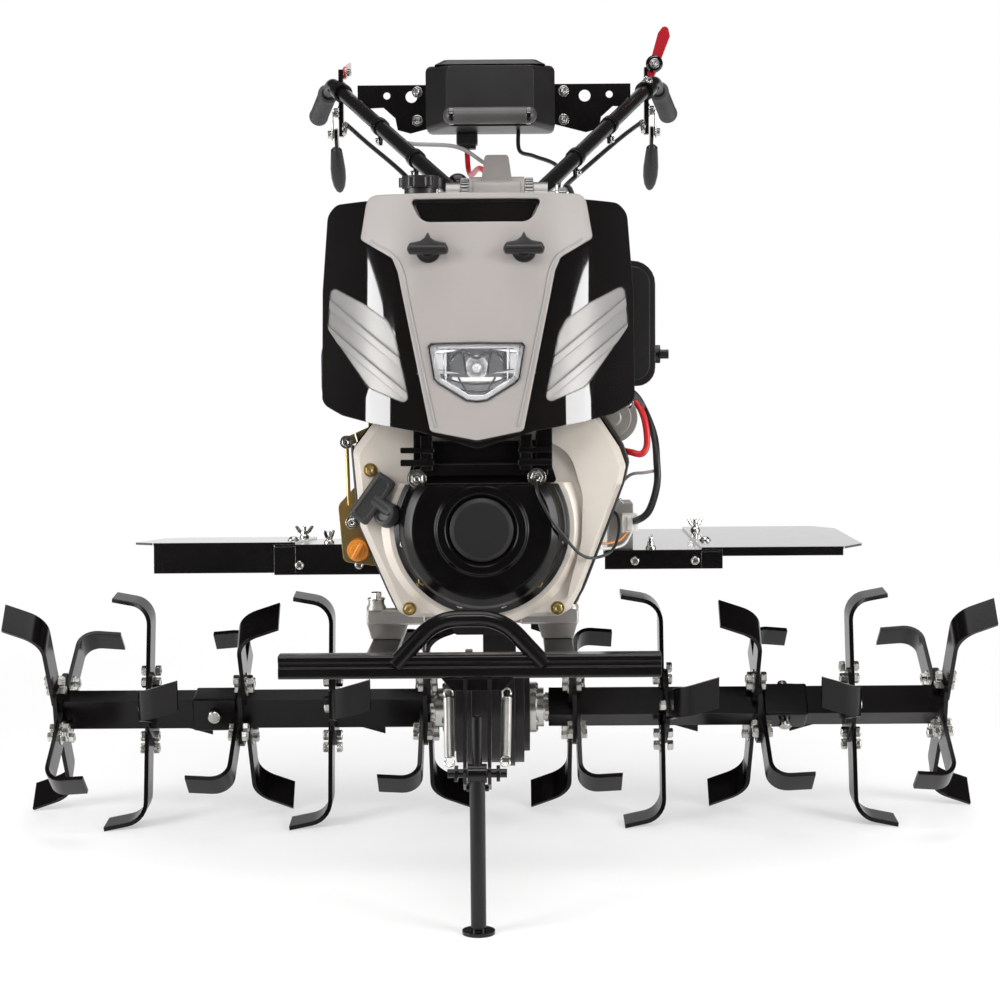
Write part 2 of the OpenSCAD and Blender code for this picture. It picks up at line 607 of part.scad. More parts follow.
// Front-view outlines are drawn for this half width and follow the cowl's own
drawn_half = 194;
module cowl_cut(line) translate([cowl_x, 0, cowl_z]) along_y(-cowl_nose - 140, 0)
  polygon([for (p = line) [p.x * cowl_half / drawn_half, p.y]]);
panel_half = [[55, 11], [89, 175], [94, 200], [101, 217], [141, 241], [132, 294]];
panel_line = rounded(concat(panel_half, mirrored(panel_half), [[0, 0]]), [6, 40, 12, 8, 5, 14, 14, 5, 8, 12, 40, 6, 20], 4);
side_line = rounded([[0, -10], [68, 10], [129, 20], [166, 28], [192, 40], [200, 70], [200, 100], [187, 276],
                     [174, 287], [0, 292]], [0, 0, 20, 20, 16, 20, 20, 30, 14, 0], 4);
vent_line = rounded([[182, 186], [137, 163], [107, 142], [98, 124], [80, 41], [131, 62], [186, 134]],
                    [6, 20, 20, 16, 6, 20, 10], 4);
lamp_line = rounded([[-57, 114], [57, 114], [50, 72], [10, 47], [-10, 47], [-50, 72]], [8, 8, 8, 10, 10, 8], 4);
intake_line = rounded([[-79, 287], [79, 287], [66, 259], [-66, 259]], [4, 4, 18, 18], 4);
module cowl_panel() color("#8d8b86") difference() {
  intersection() {
    cowl_strip(cowl_outer(panel_rise), cowl_inner);
    cowl_cut(panel_line);
  }
  cowl_cut(lamp_line);
  cowl_cut(intake_line);
}
module cowl_side(line, vent) color("#111112") difference() {
  intersection() {
    cowl_strip(cowl_outer(0), cowl_inner);
    cowl_cut(line);
  }
  cowl_cut(panel_line);
  cowl_cut(vent);
}
module cowl_sides() {
  cowl_side(mirrored(side_line), mirrored(vent_line));
  cowl_side(side_line, vent_line);
}
rib_rise = 3;
module vent(line, s) color("#b9b8b4") {
  intersection() {
    cowl_strip(cowl_outer(-1.5), cowl_inner);
    cowl_cut(line);
  }
  intersection() {
    cowl_strip(cowl_outer(rib_rise), cowl_inner);
    cowl_cut(line);
    union() for (i = [0:2])
      cowl_cut([for (p = [[186, 160 - 34 * i], [186, 172 - 34 * i], [78, 86 - 34 * i], [78, 76 - 34 * i]]) [s * p.x, p.y]]);
  }
}
module cowl_vents() {
  vent(mirrored(vent_line), -1);
  vent(vent_line, 1);
}
module cowl_intake() color("#0f0f10") intersection() {
  cowl_strip(cowl_outer(-1), cowl_inner);
  cowl_cut(intake_line);
}
knob_x = cowl_half * 0.294;
knob_h = 228;
module cowl_knobs() color("#5b5a58") difference() {
  for (s = [-1, 1]) leaned() {
    round_y(cowl_y(knob_x) - panel_rise - 13, cowl_y(knob_x) - panel_rise + 3, 10, s * knob_x, knob_h);
    round_y(cowl_y(knob_x) - panel_rise - 20, cowl_y(knob_x) - panel_rise - 8, 15, s * knob_x, knob_h);
  }
  cowl_strip(cowl_outer(panel_rise), cowl_inner);
}
module headlamp_lens() color("#dfe6ea") intersection() {
  cowl_strip(cowl_outer(panel_rise + 2), cowl_outer(panel_rise - 3));
  cowl_cut(lamp_line);
}
module headlamp_bowl() color("#d9d9d9") difference() {
  intersection() {
    cowl_strip(cowl_outer(panel_rise - 3), cowl_outer(panel_rise - 42));
    cowl_cut(lamp_line);
  }
  intersection() {
    cowl_strip(cowl_outer(panel_rise), cowl_outer(panel_rise - 34));
    cowl_cut([for (p = lamp_line) [p.x * 0.86, 82 + (p.y - 82) * 0.82]]);
  }
}
// Inside of the cowl, to end its stays on its rear faces
module cowl_inside() leaned() translate([0, 0, -60]) linear_extrude(cowl_h + 160)
  polygon(concat(cowl_inner, [[cowl_half - cowl_wall, 0], [-cowl_half + cowl_wall, 0]]));
stay_h = 215;
module cowl_stays() color("#171717") {
  for (s = [-1, 1]) intersection() {
    block([cowl_x + s * 118 - 10, cowl_x + s * 118 + 10], [-470, tank_front], [cowl_z + stay_h, cowl_z + stay_h + 5]);
    cowl_inside();
  }
  y = [shroud_front - 26, shroud_front];
  block([drive_x - 82, drive_x + 78], [y[0], y[1] - 0.2], [crank_z + 64, crank_z + 78]);
  along_y(y[1] - 16, y[1] - 0.2) translate([shroud_x, crank_z])
    polygon(rounded([[-92, recoil_flat + 1.5], [92, recoil_flat + 1.5], [76, 106], [-76, 106]], [4, 4, 10, 10], 4));
  for (s = [-1, 1]) {
    block([drive_x + s * 74 - 10, drive_x + s * 74 + 10], [y[0], y[0] + 8], [crank_z + 70, crank_z + 130]);
    intersection() {
      block([drive_x + s * 74 - 10, drive_x + s * 74 + 10], [-480, y[0] + 4], [crank_z + 124, crank_z + 130]);
      cowl_inside();
    }
  }
}

// Frame, bumper and stand
feet_x = [[drive_x - 156, drive_x - 96], [drive_x + 62, drive_x + 122]];
foot_z = base_z - 22;
module engine_feet() color("#bab7af") for (x = feet_x)
  along_y(block_front + 12, -142)
    polygon(rounded([[x[0] + 10, foot_z], [x[1] - 10, foot_z], [x[1] - 4, base_z], [x[0] + 4, base_z]], [3, 3, 0, 0], 3));
rail_t = 8;
module engine_rails() color("#191919") for (x = feet_x)
  block([x[0] + 12, x[1] - 12], [bumper_y + bumper_r, -142], [foot_z - rail_t, foot_z]);
groove = 2;
module front_bumper() color("#161616") {
  b = bumper_r;
  along_x(bumper_x - bumper_w / 2, bumper_x + bumper_w / 2) translate([bumper_y, bar_z])
    polygon(rounded([[-b, -b], [b, -b], [b, b], [-b, b], [-b, 6], [-b + groove, 5], [-b + groove, 0], [-b, -1]],
                    [4, 4, 4, 4, 0, 0, 0, 0], 3));
}
hoop_y = bumper_y - 8;
module bumper_hoop() color("#161616") difference() {
  bent_bar([for (p = [[-hoop_half, 2], [-38, hoop_rise], [38, hoop_rise], [hoop_half, 2]]) [bumper_x + p.x, hoop_y, bar_z + p.y]],
           hoop_r, 60, 9);
  block([bumper_x - bumper_w, bumper_x + bumper_w], [bumper_y - bumper_r, bumper_y + 60], [bar_z - 60, bar_z + bumper_r]);
}
sump_x = [drive_x - 54, drive_x + 26];
module oil_sump() color("#1d1c1c") along_y(-236, -152)
  polygon(rounded([[sump_x[0] + 14, base_z - 24], [sump_x[1] - 8, base_z - 24], [sump_x[1], base_z], [sump_x[0], base_z]], [5, 5, 0, 0], 3));
cheek_in = leg_r + 3;
cheek_t = 4;
pin_r = 5;
arm_x = 28;
module stand_bracket() color("#161616") difference() {
  top = bar_z - bumper_r;
  union() {
    for (s = [-1, 1])
      along_x(stand_x + (s > 0 ? cheek_in : -cheek_in - cheek_t), stand_x + (s > 0 ? cheek_in + cheek_t : -cheek_in))
        polygon(rounded([[bumper_y + bumper_r, top], [bumper_y + bumper_r, top - 26], [stand_y + 24, stand_pivot_z - 26],
                         [stand_y - 3, stand_pivot_z - 12], [stand_y - 11, stand_pivot_z + 4],
                         [bumper_y - 24, top - 14], [bumper_y - bumper_r, top]], [0, 12, 8, 8, 8, 16, 0]));
    along_y(bumper_y - 12, bumper_y + 12)
      polygon([[stand_x - 42, top], [stand_x - 30, top - 14], [stand_x + 30, top - 14], [stand_x + 42, top]]);
    round_x(stand_x - cheek_in - 1, stand_x + cheek_in + 1, 4, stand_y + leg_lean * 20 / stand_pivot_z + leg_r + 4.3,
            stand_pivot_z - 20);
  }
  round_x(stand_x - 60, stand_x + 60, pin_r + run_gap, stand_y, stand_pivot_z);
}
leg_dir = unit([0, leg_lean, -stand_pivot_z]);
spring_hook = [arm_x, stand_y + 15, stand_pivot_z - 2];
module stand_leg() color("#1a1a1a") {
  pivot = [stand_x, stand_y, stand_pivot_z];
  rod(pivot, [stand_x, stand_y + leg_lean, foot_t / 2], leg_r);
  rod(pivot - leg_dir * 66, pivot, 5.5);
  translate([stand_x, stand_y + leg_lean, 0]) cylinder(h = foot_t, r = foot_r);
  round_x(stand_x - leg_r - 2, stand_x + leg_r + 2, 11, stand_y, stand_pivot_z);
  round_x(stand_x - arm_x - 6, stand_x + arm_x + 6, pin_r, stand_y, stand_pivot_z);
  for (s = [-1, 1])
    along_x(stand_x + s * (arm_x - 4) - 2, stand_x + s * (arm_x - 4) + 2)
      polygon(rounded([[stand_y - 9, stand_pivot_z - 9], [stand_y + 22, stand_pivot_z - 9],
                       [stand_y + 22, stand_pivot_z + 5], [stand_y - 9, stand_pivot_z + 9]], 6, 4));
}
spring_r = 5;
spring_pitch = 3.6;
module stand_spring(s) {
  low = [stand_x + s * (arm_x + 4), spring_hook.y, stand_pivot_z + 4];
  high = [stand_x + s * 34, bumper_y - 6, bar_z - bumper_r - 12];
  d = unit(high - low);
  long = norm(high - low) - 22;
  turns = floor(long / spring_pitch);
  rod(low - [0, 0, 6], low + d * 12, 1.2);
  rod(high - d * 12, high, 1.2);
  translate(low + d * 11) towards(d) rotate_extrude()
    polygon(concat([[0, 0]], [for (i = [0:turns - 1]) each [[spring_r - 1.3, i * long / turns], [spring_r, (i + 0.5) * long / turns]]],
                   [[spring_r - 1.3, long], [0, long]]));
}
module stand_springs() color("#d6d4cc") for (s = [-1, 1]) stand_spring(s);

// Fenders: a top plate with a folded front lip and a folded rear lip
fender_lap = 28;
fender_out = fender_in + fender_in_w - fender_lap;
fender_y = [-fender_front, -fender_front + fender_d];
module fender_inner(s, front_lip, rear_lip) color("#151515") {
  case_side = s > 0 ? drive_x + case_w / 2 : -drive_x + case_w / 2;
  scale_x = s > 0 ? 0 : 1;
  mirror([scale_x, 0, 0]) {
    translate([0, 0, fender_z]) linear_extrude(fender_t)
      polygon(rounded([[fender_in, fender_y[0]], [fender_in + fender_in_w, fender_y[0]],
                       [fender_in + fender_in_w, fender_y[1]], [fender_in, fender_y[1]], [fender_in, 96],
                       [case_side, 86], [case_side, 14], [fender_in, 4]], [0, 0, 0, 12, 6, 0, 0, 6]));
    block([fender_in, fender_in + fender_in_w - fender_lap], [fender_y[0], fender_y[0] + fender_t],
          [fender_z - front_lip, fender_z + 1]);
    block([fender_in + 12, fender_in + fender_in_w - fender_lap], [fender_y[1] - fender_t, fender_y[1]],
          [fender_z - rear_lip, fender_z + 1]);
  }
}
module fender_outer(s, front_lip, rear_lip) color("#151515") mirror([s > 0 ? 0 : 1, 0, 0]) {
  z = fender_z + fender_t;
  x = [fender_out, fender_out + fender_out_w];
  translate([0, 0, z]) linear_extrude(fender_t)
    polygon(rounded([[x[0], fender_y[0]], [x[1] - 30, fender_y[0]], [x[1], fender_y[0] + 40], [x[1], fender_y[1] - 40],
                     [x[1] - 30, fender_y[1]], [x[0], fender_y[1]]], [0, 8, 8, 8, 8, 0], 3));
  block([x[0] + fender_lap + 0.4, x[1] - 32], [fender_y[0], fender_y[0] + fender_t], [z - front_lip, z + 1]);
  block([x[0] + fender_lap + 0.4, x[1] - 32], [fender_y[1] - fender_t, fender_y[1]], [z - rear_lip, z + 1]);
}
module tilted(a) translate([0, 0, fender_z]) rotate([-a, 0, 0]) translate([0, 0, -fender_z]) children();
module inner_fenders() {
  tilted(tilt_left) fender_inner(-1, lip_deep, lip_low);
  fender_inner(1, lip_low + 14, lip_deep);
}
module outer_fenders() {
  tilted(tilt_left) fender_outer(-1, lip_deep, lip_low);
  fender_outer(1, lip_low, lip_deep);
}
module regulator() color("#c9c7c0") {
  z = fender_z + fender_t;
  block([150, 182], [-136, -72], [z, z + 40]);
  for (i = [0:5]) block([150, 182], [-136 + i * 12, -132 + i * 12], [z + 40, z + 62]);
}
module speed_control() color("#b98a3a") {
  x = drive_x - block_w / 2;
  along_y(block_front + 6, block_front + 10)
    polygon(rounded([[x - 60, crank_z - 52], [x, crank_z - 60], [x, crank_z + 40], [x - 40, crank_z + 48], [x - 66, crank_z + 20]], [8, 0, 0, 10, 10], 4));
  block([x - 4, x], [block_front + 6, block_front + 46], [crank_z - 58, crank_z + 38]);
  rod([x - 52, block_front + 8, crank_z + 20], [x - 54, block_front + 8, crank_z + 96], 2.5);
}
module fuel_valve() color("#d98a1e") {
  x = drive_x - block_w / 2 - 40;
  round_y(block_front - 12, block_front + 5.8, 14, x, crank_z - 36);
  round_y(block_front - 18, block_front - 12, 9, x, crank_z - 36);
}

// Handle column and handlebar
column_half = 40;
module handle_column() color("#a9a69e") {
  y = pivot_back;
  along_x(-34, 34)
    polygon(rounded([[6, case_top], [84, case_top], [96, case_top + 110], [y + 26, pivot_z - 34], [y + 26, pivot_z + 14],
                     [y - 26, pivot_z + 26], [y - 38, pivot_z - 16], [28, case_top + 110]], [0, 0, 40, 40, 14, 14, 20, 40]));
  round_x(-column_half, column_half, 30, y, pivot_z);
  block([-50, 50], [0, 90], [case_top, case_top + 12]);
  along_y(y - 20, y + 14)
    polygon(rounded([[-24, pivot_z + 10], [24, pivot_z + 10], [17, pivot_z + 60], [-17, pivot_z + 60]], [0, 0, 5, 5], 4));
}
module gear_lever() color("#1c1c1c") {
  foot = [drive_x - 56, 60, case_top];
  bend = [drive_x - 58, 90, case_top + 130];
  top = [-60, 250, pivot_z + 30];
  rod(foot, foot + [0, 0, 14], 13);
  bent_bar([foot + [0, 0, 10], bend, top], 6, 60);
  translate(top) sphere(17);
}
function aim(side, i) = unit(bar_side(side)[i + 1] - bar_side(side)[i]);
module bar_tube(side) bent_bar([bar_side(side)[0], bar_side(side)[1], bar_side(side)[2] - aim(side, 1) * 6.5], bar_r, bar_bend);
module handlebar_tubes() color("#18181a") for (side = [-1, 1]) bar_tube(side);
clamp_r = 27;
module handlebar_clamp(side) difference() {
  mirror([side > 0 ? 0 : 1, 0, 0]) {
    round_x(column_half + seat_gap, column_half + 13, clamp_r, pivot_back, pivot_z);
    round_x(column_half + 12, bar_root_x + bar_r + 8, clamp_r - 5, pivot_back, pivot_z);
    round_x(bar_root_x + bar_r + 7, bar_root_x + bar_r + 20, 9, pivot_back, pivot_z);
  }
  rod(bar_side(side)[0] - aim(side, 0) * 0.2, bar_side(side)[1], bar_r + 0.15);
}
module handlebar_clamps() color("#c6c4bd") for (side = [-1, 1]) handlebar_clamp(side);
plate_half = [[30, -6], [96, -4], [150, -18], [172, -12], [176, 8], [196, 26], [250, 24], [250, 64], [30, 64]];
function bar_at(side, y) =
  let (b = bar_side(side)) b[0] + (b[1] - b[0]) * (y - b[0].y) / (b[1].y - b[0].y);
module handlebar_plate() color("#141416") difference() {
  z = bar_at(1, plate_y).z - 28;
  translate([0, 0, z]) along_y(plate_y, plate_y + plate_t)
    polygon(concat([for (p = plate_half) [min(p.x, bar_at(1, plate_y).x), p.y]],
                   [for (p = mirrored(plate_half)) [max(p.x, bar_at(-1, plate_y).x), p.y]]));
  for (side = [-1, 1]) {
    rod(bar_at(side, plate_y - 120), bar_at(side, plate_y + 120), bar_r + 0.15);
    round_y(plate_y - 1, plate_y + plate_t + 1, 10, side * 148, z + 44);
    round_y(plate_y - 1, plate_y + plate_t + 1, 6, side * 190, z + 46);
  }
}
battery_y = plate_y - battery_d;
module battery_box() color("#29292b") {
  x = [battery_x - battery_w / 2, battery_x + battery_w / 2];
  z = [battery_z, battery_z + battery_h];
  hull() {
    along_y(plate_y - 40, plate_y) polygon(rounded(rect(x[0], x[1], z[0], z[1] - 8), 10, 3));
    along_y(battery_y, battery_y + 2) polygon(rounded(rect(x[0] + 36, x[1] - 36, z[0] + 4, z[1] - 14), 10, 3));
  }
  hull() {
    translate([0, 0, z[1] - 9]) linear_extrude(1)
      polygon(rounded(rect(x[0] + 16, x[1] - 16, battery_y + 24, plate_y), 12, 3));
    translate([0, 0, z[1] - 1]) linear_extrude(1)
      polygon(rounded(rect(x[0] + 30, x[1] - 30, battery_y + 32, plate_y - 8), 12, 3));
  }
}
roll_r = 14;
module battery_roll() color("#8f8e8a") {
  x = [battery_x - 64, battery_x + 64];
  at = [battery_y - roll_r - seat_gap, battery_z + 20];
  round_x(x[0], x[1], roll_r, at[0], at[1]);
  for (end = x) translate([end, at[0], at[1]]) sphere(roll_r);
}
module hand_grips() color("#47474a") for (side = [-1, 1]) {
  end = bar_side(side)[2];
  difference() {
    rod(end - aim(side, 1) * grip_l, end, grip_r);
    rod(bar_side(side)[1], end - aim(side, 1) * 5.8, bar_r + 0.15);
  }
}
bracket_y = 742;
function bracket(side) = bar_at(side, bracket_y);
module lever_brackets() color("#161617") for (side = [-1, 1]) {
  b = bracket(side);
  difference() {
    union() {
      rod(b - aim(side, 0) * 15, b + aim(side, 0) * 15, bar_r + 5);
      block([b.x - 4, b.x + 4], [b.y - 9, b.y + 9], [b.z - 78, b.z + 38]);
    }
    rod(bar_at(side, bracket_y - 140), bar_side(side)[1], bar_r + 0.15);
  }
}
module hand_lever(side) translate([bracket(side).x, 0, 0])
  mirror([side > 0 ? 0 : 1, 0, 0]) along_x(4, 20) translate([bracket_y, bracket(side).z])
    polygon(rounded([[-10, -66], [10, -62], [26, -92], [96, -158], [90, -172], [78, -172], [10, -106], [-8, -84]],
                    [6, 6, 30, 8, 8, 8, 30, 6], 4));
module hand_levers() color("#171718") for (side = [-1, 1]) hand_lever(side);
// Clutch levers: the right one stands up, the left one lies back
module clutch_levers() color("#c81e1a") {
  translate(bracket(1) - [0, 9.3, 0]) rotate([0, 17, 0]) along_y(-5, 0)
    polygon(rounded([[-7, 22], [7, 22], [13, 98], [5, 112], [-4, 112], [-9, 98]], [5, 5, 8, 6, 6, 8], 4));
  translate(bracket(-1)) along_x(4, 9)
    polygon(rounded([[-10, 25], [10, 23], [124, 52], [122, 68], [-8, 42]], [6, 6, 7, 7, 6], 4));
}

// Cables
module control_cables() color("#161616") {
  cord([bracket(-1) + [12, -14, -60], [-222, 600, bar_at(-1, 600).z - 50], [-150, 400, bar_at(-1, 400).z - 46],
        [-96, 230, bar_at(-1, 230).z - 50], [-84, 120, pivot_z - 70], [-92, 60, case_top + 150], [-112, 48, case_top + 20],
        [-132, 48, case_top - 90], [-126, 48, case_top - 122], [drive_x - case_w / 2 - 0.3, 48, case_top - 126]], 4, 4, 8);
  cord([bracket(1) + [-12, -14, -60], [206, 600, bar_at(1, 600).z - 46], [138, 400, bar_at(1, 400).z - 40],
        [104, 240, bar_at(1, 240).z - 20], [108, 130, pivot_z + 10], [124, 20, pivot_z - 60], [150, -50, tank_z + 20],
        [150, -66, block_top + 60], [134, -96, block_top - 60], [128, -120, block_top - 96],
        [drive_x + block_w / 2 + 0.4, -122, block_top - 98]], 4, 4, 8);
}
module battery_cable() color("#b5201c")
  cord([[battery_x - 40, plate_y - 20, battery_z - 0.8], [battery_x - 40, plate_y - 20, battery_z - 34],
        [battery_x - 34, plate_y - 66, battery_z - 74], [-20, 380, pivot_z + 60],
        [40, 200, pivot_z - 60], [56, 60, case_top + 200], [70, -40, case_top + 130], [96, -84, block_top + 34],
        [starter_x - 8, block_front + 168, starter_z], [starter_x - 8, block_front + 138.6, starter_z]], 4.5, 4, 8);

// Places the parts along the length of the machine
module placed() translate([0, axle_y, 0]) children();

placed() rotor_left();
placed() rotor_right();
placed() axle_left();
placed() axle_right();
placed() bearing_caps();
placed() final_drive_case();
placed() gear_case();
placed() clutch_housing();
placed() hitch();
placed() engine_block();
placed() cylinder_head();
placed() fan_shroud();
placed() shroud_seal();
placed() recoil_starter();
placed() recoil_disc();
placed() recoil_handle();
placed() starter_motor();
placed() fuel_tank();
placed() fuel_cap();
placed() air_cleaner();
placed() air_cleaner_knob();
placed() muffler();
placed() cowl_panel();
placed() cowl_sides();
placed() cowl_vents();
placed() cowl_knobs();
placed() cowl_stays();
placed() cowl_intake();
placed() headlamp_bowl();
placed() headlamp_lens();
placed() engine_feet();
placed() oil_sump();
placed() engine_rails();
placed() front_bumper();
placed() bumper_hoop();
placed() stand_bracket();
placed() inner_fenders();
placed() outer_fenders();
placed() regulator();
placed() speed_control();
placed() fuel_valve();
placed() handle_column();
placed() gear_lever();
placed() handlebar_tubes();
placed() handlebar_clamps();
placed() handlebar_plate();
placed() battery_box();
placed() battery_roll();
placed() hand_grips();
placed() lever_brackets();
placed() hand_levers();
placed() clutch_levers();
placed() stand_leg();
placed() stand_springs();
placed() control_cables();
placed() battery_cable();
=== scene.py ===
"""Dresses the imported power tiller: finishes, hardware, springs, cables, lamp, studio and camera.

Places are given in millimetres from the rotor axle (x to the right of the front view, y to the rear, z from
the floor) and turned into metres of the shared frame by Datum.
"""
from __future__ import annotations

import json
import logging
import math
from contextlib import contextmanager
from dataclasses import dataclass, field
from enum import Enum
from typing import Callable, Iterator, Sequence

import bmesh
import bpy
from mathutils import Matrix, Vector

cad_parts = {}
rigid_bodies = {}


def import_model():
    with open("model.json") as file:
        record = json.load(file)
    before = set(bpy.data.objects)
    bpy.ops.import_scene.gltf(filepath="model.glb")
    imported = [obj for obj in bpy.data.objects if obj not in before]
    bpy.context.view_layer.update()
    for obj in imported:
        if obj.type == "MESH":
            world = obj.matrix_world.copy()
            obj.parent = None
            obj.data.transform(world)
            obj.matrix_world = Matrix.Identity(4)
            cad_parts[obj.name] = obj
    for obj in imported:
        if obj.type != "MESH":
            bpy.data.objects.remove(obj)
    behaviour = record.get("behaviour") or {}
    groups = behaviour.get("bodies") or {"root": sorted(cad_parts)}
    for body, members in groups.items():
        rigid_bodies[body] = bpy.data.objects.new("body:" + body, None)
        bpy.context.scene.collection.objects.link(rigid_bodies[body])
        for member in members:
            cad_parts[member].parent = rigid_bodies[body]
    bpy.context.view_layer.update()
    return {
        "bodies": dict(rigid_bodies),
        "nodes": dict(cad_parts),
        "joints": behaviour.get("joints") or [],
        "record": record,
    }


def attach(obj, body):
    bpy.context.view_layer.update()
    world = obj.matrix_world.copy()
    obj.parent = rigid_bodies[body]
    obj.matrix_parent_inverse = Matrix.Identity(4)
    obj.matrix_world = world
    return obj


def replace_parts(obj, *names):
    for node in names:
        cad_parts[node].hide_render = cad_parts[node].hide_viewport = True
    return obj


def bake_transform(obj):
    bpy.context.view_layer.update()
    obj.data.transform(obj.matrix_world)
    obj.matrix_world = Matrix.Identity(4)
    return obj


LOG = logging.getLogger("power_tiller")
Point = tuple[float, float, float]
Color = tuple[float, float, float]
Spots = Sequence[tuple[float, float]]
Obj = bpy.types.Object
Socket = bpy.types.NodeSocket

# Directions of the shared frame and the two sides, left first
FRONT = Vector((0, -1, 0))
REAR = Vector((0, 1, 0))
UP = Vector((0, 0, 1))
SIDES = (-1.0, 1.0)

# Modelling: angle of an edge that is bevelled, smooth-shading angles and turn from bolt to bolt in degrees,
# height of a fastener's foot in metres
SHARP_EDGE = math.radians(30)
WIRE_SMOOTH = 60.0
BOLT_SMOOTH = 30.0
BOLT_TURN = 37.0
SUNK = -0.0004

# Surfaces: noise scales per metre, the spans of noise that are mapped to 0..1, and shares of the roughness
MOTTLE_SPAN = (0.32, 0.68)
# Span of the edge mask for the painted edge highlight
EDGE_HIGHLIGHT_SPAN = (0.985, 0.90)
FLECK_SCALE = 160.0
FLECK_SPAN = (0.44, 0.62)
SMEAR_SCALE = 38.0
ROUGH_SHARES = (0.86, 1.16)
LEAST_ROUGH = 0.02
BRUSH_STRETCH = (1.0, 1.0, 0.06)
BUMP_STRENGTH = 0.6


class Grain(Enum):
    """Kinds of fine relief that a finish can carry: noise scale per metre and bump height in metres."""

    PEEL = (260.0, 0.00006)
    CAST = (520.0, 0.00035)
    MOULDED = (1500.0, 0.00012)
    BRUSHED = (900.0, 0.00005)
    RUBBER = (1100.0, 0.00016)
    GLASSY = (120.0, 0.000012)


class Body(Enum):
    """The rigid bodies that a piece can ride on."""

    CHASSIS = "chassis"
    LEFT_ROTOR = "left_rotor"
    RIGHT_ROTOR = "right_rotor"
    STAND = "stand"
    HANDLEBAR = "handlebar"


@dataclass(frozen=True)
class Finish:
    """A surface finish: base colour with mottling, relief from its grain, rounded edges and a painted
    highlight that lightens them in flecks.
    """

    name: str
    slot: str
    color: Color
    roughness: float
    metallic: float = 0.0
    coat: float = 0.0
    coat_roughness: float = 0.08
    grain: Grain = Grain.PEEL
    mottle: float = 0.12
    mottle_scale: float = 14.0
    tint: Color | None = None
    # Colour of the painted edge highlight, or None for none
    edge: Color | None = None
    edge_round: float = 0.0012
    alpha: float = 1.0
    specular: float = 0.5

    def make(self) -> bpy.types.Material:
        """Builds the node material of this finish, or returns the one already made.

        Returns:
            The material.
        """
        label = f"{self.name}_finish"
        found = bpy.data.materials.get(label)
        if found:
            return found
        material = bpy.data.materials.new(label)
        material.use_nodes = True
        graph = Graph(material.node_tree)
        shader = graph.find("BSDF_PRINCIPLED")
        coords = graph.add("ShaderNodeTexCoord").outputs["Object"]
        rounded = graph.add("ShaderNodeBevel", samples=4)
        rounded.inputs["Radius"].default_value = self.edge_round
        self._colour(graph, shader, coords, rounded)
        self._relief(graph, shader, coords, rounded)
        shader.inputs["Metallic"].default_value = self.metallic
        shader.inputs["Coat Weight"].default_value = self.coat
        shader.inputs["Coat Roughness"].default_value = self.coat_roughness
        shader.inputs["Alpha"].default_value = self.alpha
        shader.inputs["Specular IOR Level"].default_value = self.specular
        return material

    def _colour(self, graph: Graph, shader: bpy.types.Node, coords: Socket,
                rounded: bpy.types.Node) -> None:
        """Mottles the base colour with soft noise and lightens the edges in flecks as a painted edge
        highlight.

        Args:
            graph: The material's nodes.
            shader: The surface shader.
            coords: Object coordinates.
            rounded: The node that gives edge-rounded normals.
        """
        cloud = graph.noise(coords, self.mottle_scale, 4.0)
        other = self.tint or tuple(c * (1.0 - 2.0 * self.mottle) for c in self.color)
        bright = tuple(min(1.0, c * (1.0 + self.mottle)) for c in self.color)
        colour = graph.mix(graph.ramp(cloud, *MOTTLE_SPAN), other, bright)
        # Painted highlight: where the rounded normal leaves the face's own, the edges are lightened in flecks
        if self.edge:
            normal = graph.add("ShaderNodeNewGeometry").outputs["Normal"]
            dot = graph.add("ShaderNodeVectorMath", operation="DOT_PRODUCT")
            graph.link(rounded.outputs["Normal"], dot.inputs[0])
            graph.link(normal, dot.inputs[1])
            edge_mask = graph.ramp(dot.outputs["Value"], *EDGE_HIGHLIGHT_SPAN)
            fleck = graph.ramp(graph.noise(coords, FLECK_SCALE, 3.0), *FLECK_SPAN)
            colour = graph.mix(graph.pair("MULTIPLY", edge_mask, fleck), colour, self.edge)
        graph.link(colour, shader.inputs["Base Color"])

    def _relief(self, graph: Graph, shader: bpy.types.Node, coords: Socket,
                rounded: bpy.types.Node) -> None:
        """Varies the roughness and adds the grain's bump over the rounded edges.

        Args:
            graph: The material's nodes.
            shader: The surface shader.
            coords: Object coordinates.
            rounded: The node that gives edge-rounded normals.
        """
        scale, height = self.grain.value
        smear = graph.noise(coords, SMEAR_SCALE, 3.0)
        span = graph.add("ShaderNodeMapRange")
        low, high = (self.roughness * share for share in ROUGH_SHARES)
        span.inputs["To Min"].default_value = max(LEAST_ROUGH, low)
        span.inputs["To Max"].default_value = min(1.0, high)
        graph.link(smear, span.inputs["Value"])
        graph.link(span.outputs["Result"], shader.inputs["Roughness"])
        spot = coords
        if self.grain is Grain.BRUSHED:
            stretch = graph.add("ShaderNodeMapping")
            stretch.inputs["Scale"].default_value = BRUSH_STRETCH
            graph.link(coords, stretch.inputs["Vector"])
            spot = stretch.outputs["Vector"]
        bump = graph.add("ShaderNodeBump")
        bump.inputs["Strength"].default_value = BUMP_STRENGTH
        bump.inputs["Distance"].default_value = height
        graph.link(graph.noise(spot, scale, 2.0), bump.inputs["Height"])
        graph.link(rounded.outputs["Normal"], bump.inputs["Normal"])
        graph.link(bump.outputs["Normal"], shader.inputs["Normal"])


